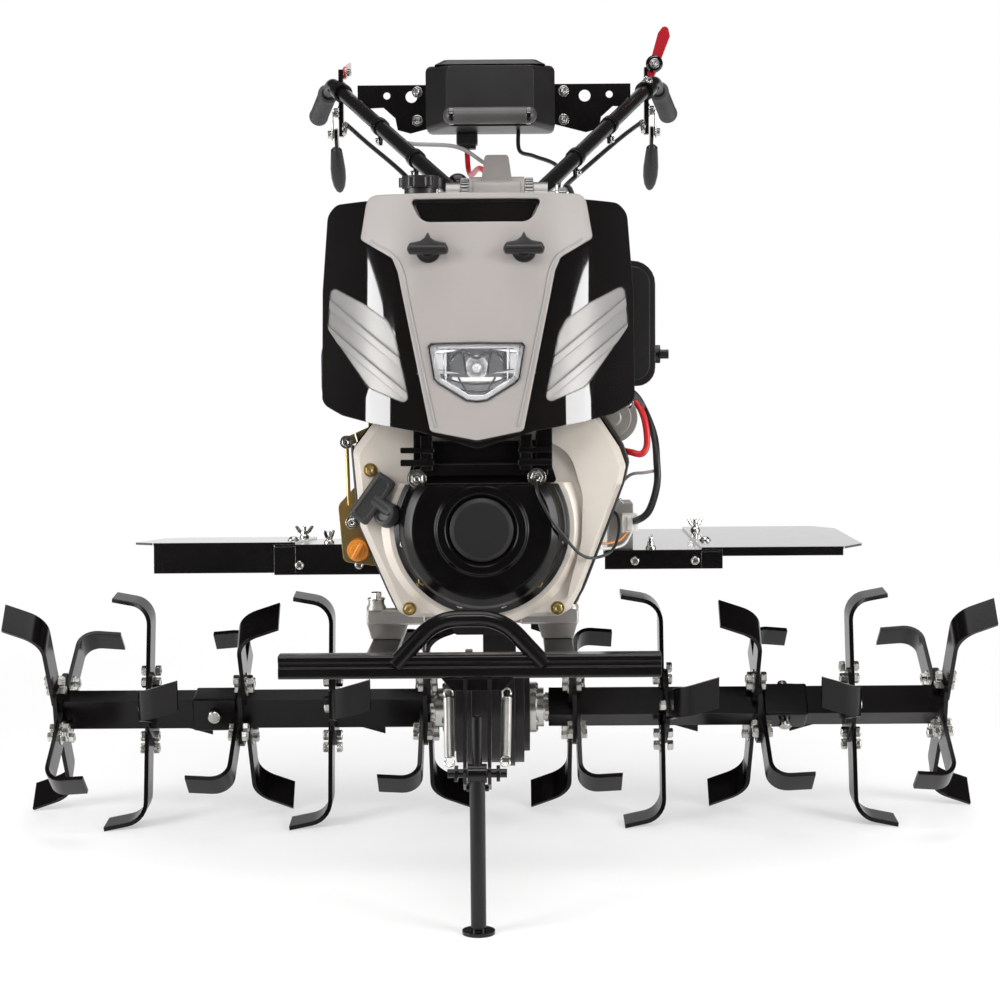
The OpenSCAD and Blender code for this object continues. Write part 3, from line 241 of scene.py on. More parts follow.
class Graph:
    """A node tree with short ways to add and join nodes."""

    def __init__(self, tree: bpy.types.NodeTree) -> None:
        """Keeps the tree."""
        self.tree = tree

    def find(self, kind: str) -> bpy.types.Node:
        """Returns the tree's first node of that type."""
        return next(n for n in self.tree.nodes if n.type == kind)

    def add(self, kind: str, **settings: object) -> bpy.types.Node:
        """Adds a node and sets its properties.

        Args:
            kind: The node's class name.
            settings: Properties of the node.

        Returns:
            The node.
        """
        node = self.tree.nodes.new(kind)
        for key, value in settings.items():
            setattr(node, key, value)
        return node

    def link(self, out: Socket, into: Socket) -> None:
        """Joins two sockets."""
        self.tree.links.new(out, into)

    def noise(self, coords: Socket, scale: float, detail: float) -> Socket:
        """Adds a noise texture and returns its value."""
        node = self.add("ShaderNodeTexNoise")
        node.inputs["Scale"].default_value = scale
        node.inputs["Detail"].default_value = detail
        self.link(coords, node.inputs["Vector"])
        return node.outputs["Fac"]

    def ramp(self, value: Socket, low: float, high: float,
             least: float = 0.0) -> Socket:
        """Maps low..high of a value to least..1, clamped."""
        node = self.add("ShaderNodeMapRange")
        node.inputs["From Min"].default_value = low
        node.inputs["From Max"].default_value = high
        node.inputs["To Min"].default_value = least
        self.link(value, node.inputs["Value"])
        return node.outputs["Result"]

    def pair(self, operation: str, a: Socket, b: Socket) -> Socket:
        """Returns the result of a math operation on two values."""
        node = self.add("ShaderNodeMath", operation=operation)
        self.link(a, node.inputs[0])
        self.link(b, node.inputs[1])
        return node.outputs["Value"]

    def light(self, kind: str, strength: float) -> Socket:
        """Adds a white emission or background node and returns its shader."""
        node = self.add(kind)
        node.inputs["Color"].default_value = (1.0, 1.0, 1.0, 1.0)
        node.inputs["Strength"].default_value = strength
        return node.outputs[0]

    def shade(self, factor: Socket, a: Socket,
              b: Socket) -> Socket:
        """Mixes two shaders, where a factor of 0 gives a and 1 gives b."""
        node = self.add("ShaderNodeMixShader")
        for into, out in zip(node.inputs, (factor, a, b)):
            self.link(out, into)
        return node.outputs["Shader"]

    def mix(self, factor: Socket, a: object, b: object) -> Socket:
        """Mixes two colours, each a socket or plain numbers.

        Args:
            factor: 0 gives a, 1 gives b.
            a: First colour.
            b: Second colour.

        Returns:
            The mixed colour.
        """
        node = self.add("ShaderNodeMix", data_type="RGBA")
        self.link(factor, node.inputs["Factor"])
        for socket, colour in ((node.inputs[6], a), (node.inputs[7], b)):
            if isinstance(colour, Socket):
                self.link(colour, socket)
            else:
                socket.default_value = (*colour, 1.0)
        return node.outputs[2]


# Painted highlight: the lighter colour laid on the edges of the black paints
EDGE_HIGHLIGHT_BLACK = (0.018, 0.017, 0.016)
ROTOR_BLACK = Finish("rotor_black", "rotor_paint", (0.0040, 0.0035, 0.0033), 0.20, edge=EDGE_HIGHLIGHT_BLACK,
                     specular=0.22)
FRAME_BLACK = Finish("frame_black", "black_paint", (0.0045, 0.0040, 0.0039), 0.17, edge=EDGE_HIGHLIGHT_BLACK,
                     specular=0.34)
# The iron's edge colour is a painted edge highlight
CASE_IRON = Finish("case_iron", "case_iron", (0.0085, 0.0075, 0.0072), 0.36, grain=Grain.CAST,
                   edge=(0.03, 0.028, 0.026), specular=0.35)
FENDER_BLACK = Finish("fender_black", "black_paint", (0.0050, 0.0046, 0.0045), 0.15, coat=0.45,
                      edge=EDGE_HIGHLIGHT_BLACK)
SOOT_BLACK = Finish("soot_black", "black_paint", (0.014, 0.0133, 0.0128), 0.6, grain=Grain.CAST, mottle=0.2)
ZINC = Finish("bright_zinc", "bright_steel", (0.66, 0.65, 0.62), 0.26, metallic=1.0, grain=Grain.BRUSHED,
              mottle=0.08)
ZINC_GOLD = Finish("yellow_zinc", "zinc_gold", (0.58, 0.38, 0.13), 0.30, metallic=0.9, grain=Grain.BRUSHED,
                   tint=(0.42, 0.36, 0.17))
CLAMP_STEEL = Finish("clamp_steel", "bright_steel", (0.30, 0.29, 0.28), 0.32, metallic=0.9,
                     grain=Grain.CAST)
ALLOY = Finish("cast_alloy", "engine_alloy", (0.40, 0.38, 0.36), 0.42, metallic=0.7, grain=Grain.CAST,
               mottle=0.08)
COLUMN_GREY = Finish("column_grey", "engine_alloy", (0.215, 0.198, 0.188), 0.46, metallic=0.25,
                     grain=Grain.CAST, mottle=0.1)
SHROUD_CREAM = Finish("shroud_cream", "shroud_cream", (0.62, 0.565, 0.505), 0.34, metallic=0.2,
                      coat=0.15, mottle=0.02)
RECOIL_BLACK = Finish("recoil_black", "recoil_black", (0.0030, 0.0027, 0.0027), 0.20, grain=Grain.GLASSY,
                      edge_round=0.0016, specular=0.24)
CHARCOAL = Finish("charcoal_plastic", "dark_plastic", (0.0130, 0.0120, 0.0120), 0.36, grain=Grain.MOULDED)
DISC_GREY = Finish("disc_grey", "dark_plastic", (0.0125, 0.0120, 0.0122), 0.40, grain=Grain.MOULDED)
HANDLE_GREY = Finish("handle_grey", "dark_plastic", (0.022, 0.021, 0.021), 0.44, grain=Grain.MOULDED)
PANEL_GREY = Finish("panel_grey", "panel_grey", (0.285, 0.263, 0.254), 0.30, coat=0.2, mottle=0.012,
                    edge_round=0.003)
GLOSS_BLACK = Finish("gloss_black", "gloss_black", (0.0042, 0.0032, 0.0030), 0.05, coat=1.0,
                     coat_roughness=0.02, grain=Grain.GLASSY, edge_round=0.002)
VENT_SILVER = Finish("vent_silver", "vent_silver", (0.262, 0.254, 0.247), 0.36, metallic=0.2, mottle=0.015,
                     edge_round=0.0025)
# Painted reflection: the lamp's chrome is only 0.45 metallic, so its near-white colour shows as diffuse white
# where chrome would reflect the white surroundings
LAMP_CHROME = Finish("lamp_chrome", "lamp_chrome", (0.80, 0.80, 0.81), 0.12, metallic=0.45, mottle=0.02)
LAMP_GLASS = Finish("lamp_glass", "lamp_glass", (0.55, 0.57, 0.60), 0.04, coat=0.6, grain=Grain.GLASSY,
                    mottle=0.01, alpha=0.05)
VALVE_ORANGE = Finish("valve_orange", "valve_orange", (0.72, 0.25, 0.02), 0.34, coat=0.2, grain=Grain.MOULDED)
ROLL_GREY = Finish("roll_grey", "roll_grey", (0.060, 0.058, 0.057), 0.40, grain=Grain.MOULDED, mottle=0.08)
GRIP_RUBBER = Finish("grip_rubber", "grip_rubber", (0.045, 0.045, 0.047), 0.55, grain=Grain.RUBBER)
SLEEVE_BLACK = Finish("sleeve_black", "grip_rubber", (0.0075, 0.0070, 0.0070), 0.26, grain=Grain.GLASSY)
LEVER_RED = Finish("lever_red", "lever_red", (0.30, 0.006, 0.012), 0.22, coat=0.4, mottle=0.06)
CABLE_BLACK = Finish("cable_black", "cable_black", (0.009, 0.009, 0.009), 0.38, grain=Grain.RUBBER)
CABLE_GREY = Finish("cable_grey", "cable_black", (0.24, 0.235, 0.23), 0.42, grain=Grain.RUBBER)
CABLE_RED = Finish("cable_red", "cable_red", (0.52, 0.008, 0.012), 0.34, grain=Grain.RUBBER)
PLUG_WHITE = Finish("plug_white", "vent_silver", (0.68, 0.67, 0.64), 0.40, grain=Grain.MOULDED, mottle=0.05)

NODE_FINISH: dict[str, Finish] = {
    node: finish for finish, nodes in (
        (ROTOR_BLACK, "rotor_left rotor_right"),
        (ZINC, "axle_left axle_right bearing_caps stand_springs"),
        (CASE_IRON, "final_drive_case gear_case clutch_housing oil_sump"),
        (FRAME_BLACK, "hitch shroud_seal cowl_stays engine_rails front_bumper bumper_hoop stand_bracket "
                      "gear_lever handlebar_tubes handlebar_plate lever_brackets stand_leg"),
        (ALLOY, "engine_block cylinder_head starter_motor engine_feet regulator"),
        (SHROUD_CREAM, "fan_shroud"),
        (RECOIL_BLACK, "recoil_starter"),
        (DISC_GREY, "recoil_disc"),
        (HANDLE_GREY, "recoil_handle"),
        (CHARCOAL, "fuel_tank fuel_cap air_cleaner air_cleaner_knob cowl_knobs battery_box hand_levers"),
        (SOOT_BLACK, "muffler"),
        (PANEL_GREY, "cowl_panel"),
        (GLOSS_BLACK, "cowl_sides cowl_intake"),
        (VENT_SILVER, "cowl_vents"),
        (LAMP_CHROME, "headlamp_bowl"),
        (LAMP_GLASS, "headlamp_lens"),
        (FENDER_BLACK, "inner_fenders outer_fenders"),
        (ZINC_GOLD, "speed_control"),
        (VALVE_ORANGE, "fuel_valve"),
        (COLUMN_GREY, "handle_column"),
        (CLAMP_STEEL, "handlebar_clamps"),
        (ROLL_GREY, "battery_roll"),
        (GRIP_RUBBER, "hand_grips"),
        (LEVER_RED, "clutch_levers"),
        (CABLE_BLACK, "control_cables"),
        (CABLE_RED, "battery_cable"))
    for node in nodes.split()}


@dataclass(frozen=True)
class Datum:
    """The rotor axle's place, from which the drawing counts its millimetres."""

    axle_y: float

    def at(self, x: float, y: float, z: float) -> Vector:
        """Returns a drawing place in metres of the shared frame."""
        return Vector((x / 1000.0, self.axle_y + y / 1000.0, z / 1000.0))

    def path(self, *points: Point) -> list[Vector]:
        """Returns several drawing places in metres of the shared frame."""
        return [self.at(*p) for p in points]


def turned_by(degrees: float, axis: str) -> Matrix:
    """Returns the matrix of a turn about an axis."""
    return Matrix.Rotation(math.radians(degrees), 4, axis)


class Bench:
    """Modelling steps, done with operators as by hand."""

    @staticmethod
    def clear() -> None:
        """Leaves edit mode and deselects everything."""
        if bpy.context.mode != "OBJECT":
            bpy.ops.object.mode_set(mode="OBJECT")
        bpy.ops.object.select_all(action="DESELECT")

    @staticmethod
    def take(obj: Obj) -> None:
        """Selects one object alone and makes it active."""
        Bench.clear()
        obj.select_set(True)
        bpy.context.view_layer.objects.active = obj

    @staticmethod
    @contextmanager
    def editing(obj: Obj) -> Iterator[None]:
        """Opens an object in edit mode with nothing selected."""
        Bench.take(obj)
        bpy.ops.object.mode_set(mode="EDIT")
        bpy.ops.mesh.select_mode(type="FACE")
        bpy.ops.mesh.select_all(action="DESELECT")
        yield
        bpy.ops.object.mode_set(mode="OBJECT")

    @staticmethod
    def pick(obj: Obj, test: Callable[[bmesh.types.BMFace], bool]) -> None:
        """Selects, in edit mode, the faces that pass a test of place or normal."""
        mesh = bmesh.from_edit_mesh(obj.data)
        for face in mesh.faces:
            face.select_set(test(face))
        bmesh.update_edit_mesh(obj.data)

    @staticmethod
    def apply(obj: Obj, kind: str, **settings: object) -> None:
        """Adds a modifier and applies it.

        Args:
            obj: The object.
            kind: Modifier type.
            settings: Its properties.
        """
        Bench.take(obj)
        modifier = obj.modifiers.new(kind.lower(), kind)
        for key, value in settings.items():
            setattr(modifier, key, value)
        bpy.ops.object.modifier_apply(modifier=modifier.name)

    @staticmethod
    def soften(obj: Obj, width: float, segments: int = 2) -> Obj:
        """Bevels the sharp edges of an object and returns it."""
        Bench.apply(obj, "BEVEL", width=width, segments=segments, limit_method="ANGLE",
                    angle_limit=SHARP_EDGE)
        return obj

    @staticmethod
    def turned(profile: Spots, sides: int = 24) -> Obj:
        """Turns a piece about Z: a disc extruded and scaled from ring to ring.

        Args:
            profile: Radius and height of each ring, in metres, from the bottom.
            sides: Sides of the rings.

        Returns:
            The closed piece.
        """
        Bench.clear()
        bpy.ops.mesh.primitive_circle_add(vertices=sides, radius=profile[0][0], fill_type="NGON",
                                          location=(0.0, 0.0, profile[0][1]))
        obj = bpy.context.object
        bpy.ops.object.transform_apply(location=True, rotation=False, scale=False)
        with Bench.editing(obj):
            bpy.ops.mesh.select_all(action="SELECT")
            for (r0, z0), (r1, z1) in zip(profile, profile[1:]):
                bpy.ops.mesh.extrude_region_move(TRANSFORM_OT_translate={"value": (0.0, 0.0, z1 - z0)})
                bpy.ops.transform.resize(value=(r1 / r0, r1 / r0, 1.0), center_override=(0.0, 0.0, z1))
            bpy.ops.mesh.select_all(action="SELECT")
            bpy.ops.mesh.normals_make_consistent(inside=False)
        return obj

    @staticmethod
    def slab(size: Point, round_edge: float, segments: int = 2) -> Obj:
        """Makes a block of that size about the origin with rounded edges."""
        Bench.clear()
        bpy.ops.mesh.primitive_cube_add(size=1.0)
        obj = bpy.context.object
        obj.scale = size
        bpy.ops.object.transform_apply(location=False, rotation=False, scale=True)
        return Bench.soften(obj, round_edge, segments)

    @staticmethod
    def plate(outline: Spots, thickness: float,
              round_edge: float) -> Obj:
        """Makes a plate from an (x, y) outline, extruded up from z = 0.

        Args:
            outline: Corners, counter-clockwise, in metres.
            thickness: Plate thickness.
            round_edge: Bevel of its edges.

        Returns:
            The plate.
        """
        Bench.clear()
        bpy.ops.mesh.primitive_circle_add(vertices=len(outline), radius=1.0, fill_type="NGON")
        obj = bpy.context.object
        for vertex, (x, y) in zip(obj.data.vertices, outline):
            vertex.co = (x, y, 0.0)
        with Bench.editing(obj):
            bpy.ops.mesh.select_all(action="SELECT")
            bpy.ops.mesh.extrude_region_move(TRANSFORM_OT_translate={"value": (0.0, 0.0, thickness)})
            bpy.ops.mesh.select_all(action="SELECT")
            bpy.ops.mesh.normals_make_consistent(inside=False)
        return Bench.soften(obj, round_edge) if round_edge > 0 else obj

    @staticmethod
    def smooth_path(points: Sequence[Vector], steps: int = 8) -> list[Vector]:
        """Runs a smooth curve through points.

        Args:
            points: Points on the way.
            steps: Samples from one point to the next.

        Returns:
            The curve's samples.
        """
        out: list[Vector] = []
        last = len(points) - 1
        for i in range(last):
            a, b, c, d = points[max(0, i - 1)], points[i], points[i + 1], points[min(last, i + 2)]
            for j in range(steps):
                t = j / steps
                out.append(b + (c - a) * t / 2 + (a * 2 - b * 5 + c * 4 - d) * t * t / 2
                           + (b * 3 - a - c * 3 + d) * t * t * t / 2)
        return out + [points[last].copy()]

    @staticmethod
    def tube(points: Sequence[Vector], radius: float, smooth: bool = True) -> Obj:
        """Makes a round tube or wire along points.

        Args:
            points: The way, in metres.
            radius: The tube's radius.
            smooth: Whether to run a smooth curve through the points.

        Returns:
            The tube as a mesh.
        """
        Bench.clear()
        bpy.ops.curve.primitive_nurbs_path_add()
        obj = bpy.context.object
        curve = obj.data
        curve.splines.clear()
        way = Bench.smooth_path(points) if smooth else list(points)
        spline = curve.splines.new("POLY")
        spline.points.add(len(way) - 1)
        for spot, place in zip(spline.points, way):
            spot.co = (*place, 1.0)
        curve.bevel_depth = radius
        curve.bevel_resolution = 3
        curve.use_fill_caps = True
        bpy.ops.object.convert(target="MESH")
        return bpy.context.object

    @staticmethod
    def frame_at(place: Vector, direction: Vector, spin: float = 0.0) -> Matrix:
        """Returns the matrix that puts a piece's foot at a place with its Z along a direction.

        Args:
            place: Where the foot goes.
            direction: Where Z points.
            spin: Turn about Z in degrees.

        Returns:
            The matrix.
        """
        turn = direction.normalized().to_track_quat("Z", "Y").to_matrix().to_4x4()
        return Matrix.Translation(place) @ turn @ turned_by(spin, "Z")

    @staticmethod
    def moved(obj: Obj, matrix: Matrix) -> Obj:
        """Moves an object's mesh, its object staying at the origin, and returns it."""
        obj.data.transform(matrix)
        if matrix.determinant() < 0:
            obj.data.flip_normals()
        return obj

    @staticmethod
    def copied(obj: Obj, matrix: Matrix) -> Obj:
        """Returns a copy with its own mesh, moved by a matrix."""
        twin = bpy.data.objects.new(obj.name, obj.data.copy())
        bpy.context.scene.collection.objects.link(twin)
        return Bench.moved(twin, matrix)

    @staticmethod
    def joined(parts: Sequence[Obj]) -> Obj:
        """Joins objects into the first one and returns it."""
        Bench.clear()
        for part in parts:
            part.select_set(True)
        bpy.context.view_layer.objects.active = parts[0]
        if len(parts) > 1:
            bpy.ops.object.join()
        return parts[0]

    @staticmethod
    def spread(obj: Obj, frames: Sequence[Matrix]) -> Obj:
        """Copies a piece to every frame, joins the copies and removes the model."""
        copies = [Bench.copied(obj, frame) for frame in frames]
        bpy.data.objects.remove(obj)
        return Bench.joined(copies)


class Hardware:
    """Fasteners, each modelled once at the origin with Z out of the surface it sits on."""

    @staticmethod
    def hex_bolt(across: float, washer: bool = True) -> Obj:
        """Models a chamfered hexagon head on a washer.

        Args:
            across: Width of the head across its flats, in metres.
            washer: Whether a washer lies under it.

        Returns:
            The bolt.
        """
        r = across / math.sqrt(3.0)
        lift = across * 0.12 if washer else 0.0
        head = Bench.turned([(r, lift - 0.0003), (r, lift + across * 0.48), (r * 0.86, lift + across * 0.58),
                             (r * 0.5, lift + across * 0.58), (r * 0.42, lift + across * 0.53)], 6)
        if not washer:
            return head
        wide = across * 0.86
        ring = Bench.turned([(wide, SUNK), (wide, lift * 0.8), (across * 0.80, lift)], 18)
        return Bench.joined([head, ring])

    @staticmethod
    def dome_bolt(radius: float) -> Obj:
        """Models a round-headed screw with a flange."""
        shape = ((1.25, 0.22), (1.0, 0.26), (0.94, 0.5), (0.7, 0.72), (0.3, 0.82))
        return Bench.turned([(radius * 1.25, SUNK), *((radius * r, radius * z) for r, z in shape)], 16)

    @staticmethod
    def wing_bolt(span: float) -> Obj:
        """Models a wing nut on its stud: a waisted barrel and two raised wings.

        Args:
            span: Width over the wings, in metres.

        Returns:
            The wing bolt.
        """
        shape = ((0.24, 0.10), (0.17, 0.16), (0.16, 0.34), (0.10, 0.36), (0.10, 0.56), (0.07, 0.6))
        barrel = Bench.turned([(span * 0.26, SUNK), *((span * r, span * z) for r, z in shape)], 16)
        outline = ((0.10, 0.12), (0.34, 0.30), (0.50, 0.56), (0.46, 0.64), (0.34, 0.60), (0.12, 0.32))
        upright = turned_by(90.0, "X")
        wings = []
        for side in SIDES:
            wing = Bench.plate([(span * x, span * z) for x, z in outline], span * 0.09, span * 0.02)
            Bench.moved(wing, upright @ Matrix.Translation((0, 0, -span * 0.045)))
            wings.append(Bench.moved(wing, Matrix.Diagonal((side, 1.0, 1.0, 1.0))))
        return Bench.joined([barrel, *wings])


@dataclass
class Assembly:
    """A sub-assembly that makes pieces, dresses them and hangs them on their bodies."""

    datum: Datum

    def keep(self, obj: Obj, name: str, finish: Finish, body: Body | None = Body.CHASSIS,
             smooth: float = 35.0) -> Obj:
        """Names, shades and paints a finished piece and lets it ride.

        Args:
            obj: The piece.
            name: Its name.
            finish: Its finish.
            body: The body it rides on, or None where it rides on none.
            smooth: Angle in degrees under which edges are shaded smooth.

        Returns:
            The piece.
        """
        obj.name = name
        obj.data.name = name
        Bench.take(obj)
        bpy.ops.object.shade_smooth_by_angle(angle=math.radians(smooth), keep_sharp_edges=False)
        Bench.apply(obj, "WEIGHTED_NORMAL", keep_sharp=True)
        obj.data.materials.clear()
        obj.data.materials.append(finish.make())
        if body is not None:
            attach(obj, body.value)
        LOG.info("%s: %d faces", name, len(obj.data.polygons))
        return obj

    def put(self, obj: Obj, place: Point, turn: Matrix | None = None) -> Obj:
        """Moves a piece to a drawing place, turned first where a turn is given, and returns it."""
        shift = Matrix.Translation(self.datum.at(*place))
        return Bench.moved(obj, shift if turn is None else shift @ turn)

    def aimed(self, obj: Obj, place: Point, direction: Vector) -> Obj:
        """Stands a piece at a drawing place with its Z along a direction and returns it."""
        return Bench.moved(obj, Bench.frame_at(self.datum.at(*place), direction))

    def bolts(self, name: str, model: Obj, places: Sequence[Vector], direction: Vector,
              finish: Finish = ZINC, body: Body = Body.CHASSIS) -> Obj:
        """Sets copies of a fastener on one plane, each turned a little differently.

        Args:
            name: The piece's name.
            model: The fastener, which is used up.
            places: Where they go.
            direction: The way their heads point.
            finish: Their finish.
            body: The body they ride on.

        Returns:
            The joined fasteners.
        """
        frames = [Bench.frame_at(place, direction, BOLT_TURN * i) for i, place in enumerate(places)]
        return self.keep(Bench.spread(model, frames), name, finish, body, BOLT_SMOOTH)

    def wire(self, name: str, finish: Finish, radius: float, *way: Point) -> None:
        """Runs a wire of the chassis through drawing places.

        Args:
            name: The wire's name.
            finish: Its finish.
            radius: Its radius in metres.
            way: The places it runs through.
        """
        self.keep(Bench.tube(self.datum.path(*way), radius), name, finish, smooth=WIRE_SMOOTH)


EDGES: dict[str, float] = {
    "rotor_left": 0.0009, "rotor_right": 0.0009, "final_drive_case": 0.0016, "gear_case": 0.0016,
    "clutch_housing": 0.0012, "hitch": 0.0012, "engine_block": 0.0015, "cylinder_head": 0.0006,
    "fan_shroud": 0.0018, "shroud_seal": 0.0010, "recoil_starter": 0.0, "recoil_disc": 0.0,
    "starter_motor": 0.0014, "fuel_tank": 0.0024, "fuel_cap": 0.0014, "air_cleaner": 0.0024,
    "air_cleaner_knob": 0.0012, "muffler": 0.0020, "cowl_panel": 0.0022, "cowl_sides": 0.0014,
    "cowl_vents": 0.0012, "cowl_intake": 0.0006, "cowl_stays": 0.0010, "engine_feet": 0.0014,
    "headlamp_bowl": 0.0006, "headlamp_lens": 0.0010, "front_bumper": 0.0008, "bumper_hoop": 0.0,
    "stand_bracket": 0.0008, "stand_leg": 0.0008, "inner_fenders": 0.0008, "outer_fenders": 0.0008,
    "regulator": 0.0010, "speed_control": 0.0006, "fuel_valve": 0.0012, "handle_column": 0.0020,
    "gear_lever": 0.0, "handlebar_tubes": 0.0, "handlebar_plate": 0.0010, "battery_box": 0.0030,
    "battery_roll": 0.0, "lever_brackets": 0.0010, "clutch_levers": 0.0014, "handlebar_clamps": 0.0010,
}
RIDES: dict[str, Body] = {
    "rotor_left": Body.LEFT_ROTOR, "rotor_right": Body.RIGHT_ROTOR, "stand_leg": Body.STAND,
    **dict.fromkeys(("handlebar_tubes", "handlebar_plate", "battery_box", "battery_roll",
                     "lever_brackets", "clutch_levers", "handlebar_clamps"), Body.HANDLEBAR),
}


@dataclass
class Refined(Assembly):
    """Merged, bevelled and smooth copies that stand in for the CAD nodes."""

    nodes: dict[str, Obj] = field(default_factory=dict)
    merge: float = 0.00002
    flat: float = math.radians(0.5)
    bevelled_smooth: float = 34.0
    plain_smooth: float = 40.0

    def build(self) -> None:
        """Refines a copy of each listed node, with its edges bevelled where a width is listed."""
        for name, width in EDGES.items():
            source = self.nodes[name]
            copy = bpy.data.objects.new(name, source.data.copy())
            bpy.context.scene.collection.objects.link(copy)
            copy.data.transform(source.matrix_world)
            Bench.take(copy)
            bpy.ops.mesh.customdata_custom_splitnormals_clear()
            with Bench.editing(copy):
                bpy.ops.mesh.select_all(action="SELECT")
                bpy.ops.mesh.remove_doubles(threshold=self.merge)
                bpy.ops.mesh.dissolve_limited(angle_limit=self.flat)
                bpy.ops.mesh.normals_make_consistent(inside=False)
            if width > 0:
                Bench.soften(copy, width)
            smooth = self.bevelled_smooth if width > 0 else self.plain_smooth
            self.keep(copy, f"{name}_shape", NODE_FINISH[name], RIDES.get(name, Body.CHASSIS), smooth)
            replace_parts(copy, name)


@dataclass
class Rotors(Assembly):
    """Bolts and hub pins of the two tined rotors."""

    axle_z: float = 160.827
    flange_first: float = 105.0
    flange_pitch: float = 130.0
    flange_count: int = 5
    flange_face: float = 3.0
    tine_face: float = 8.0
    bolt_radii: tuple[float, float] = (38.0, 55.0)
    bolt_across: float = 0.013
    rest_turn: tuple[float, float] = (33.013, -11.987)
    outward_from: tuple[int, int] = (4, 3)
    tube_half: float = 21.0
    sleeve_wall: float = 3.0
    sleeve_long: float = 0.062
    pin_x: float = 404.0
    clip: Spots = (
        (0.0, 0.0055), (0.010, 0.0058), (0.022, 0.0035), (0.031, 0.0), (0.036, -0.006), (0.030, -0.011),
        (0.022, -0.008), (0.012, -0.0002), (-0.014, -0.0002))
    clip_wire: float = 0.0013

    def pins(self, side: float, body: Body, turn: float) -> None:
        """Pins the outer length of a rotor tube to the inner one in a square sleeve, with a spring clip.

        Args:
            side: -1 for the left rotor, 1 for the right one.
            body: The rotor.
            turn: Turn of the square tube about the axle in degrees.
        """
        about = (Matrix.Translation(self.datum.at(side * self.pin_x, 0.0, self.axle_z))
                 @ turned_by(turn, "X"))
        end = (self.tube_half + self.sleeve_wall) / 1000.0
        sleeve = Bench.moved(Bench.slab((self.sleeve_long, 2.0 * end, 2.0 * end), 0.003, 3), about)
        self.keep(sleeve, f"{body.value}_sleeve", ROTOR_BLACK, body)
        pin = Bench.turned([(0.0062, -end - 0.012), (0.0070, -end - 0.010), (0.0070, end + 0.004),
                            (0.0090, end + 0.0045), (0.0090, end + 0.0085), (0.0074, end + 0.0100)], 18)
        loop = Bench.tube([Vector((x, y, 0.0)) for x, y in self.clip], self.clip_wire)
        Bench.moved(loop, Matrix.Translation((0.0, 0.0, -end - 0.006)))
        lying = about @ turned_by(90.0, "X")
        self.keep(Bench.moved(Bench.joined([pin, loop]), lying), f"{body.value}_pin", ZINC, body)

    def build(self) -> None:
        """Bolts every tine to its flange and pins the tubes to their axles."""
        for index, side in enumerate(SIDES):
            body = Body.LEFT_ROTOR if side < 0 else Body.RIGHT_ROTOR
            heads: list[Matrix] = []
            nuts: list[Matrix] = []
            for k in range(self.flange_count):
                x = side * (self.flange_first + k * self.flange_pitch)
                root = self.rest_turn[index] + 45.0 * ((k + index) % 2)
                for j in range(4):
                    way = side if (j % 2 == 0) == (k >= self.outward_from[index]) else -side
                    turn = math.radians(root + 90.0 * j)
                    for radius in self.bolt_radii:
                        y, z = -radius * math.sin(turn), self.axle_z + radius * math.cos(turn)
                        head = self.datum.at(x + way * self.tine_face, y, z)
                        back = self.datum.at(x - way * self.flange_face, y, z)
                        heads.append(Bench.frame_at(head, Vector((way, 0, 0)), 20.0 * j))
                        nuts.append(Bench.frame_at(back, Vector((-way, 0, 0)), 35.0 * j))
            for kind, frames, washer in (("bolts", heads, True), ("nuts", nuts, False)):
                made = Bench.spread(Hardware.hex_bolt(self.bolt_across, washer), frames)
                self.keep(made, f"{body.value}_{kind}", ZINC, body, BOLT_SMOOTH)
            self.pins(side, body, 45.0 - self.rest_turn[index])


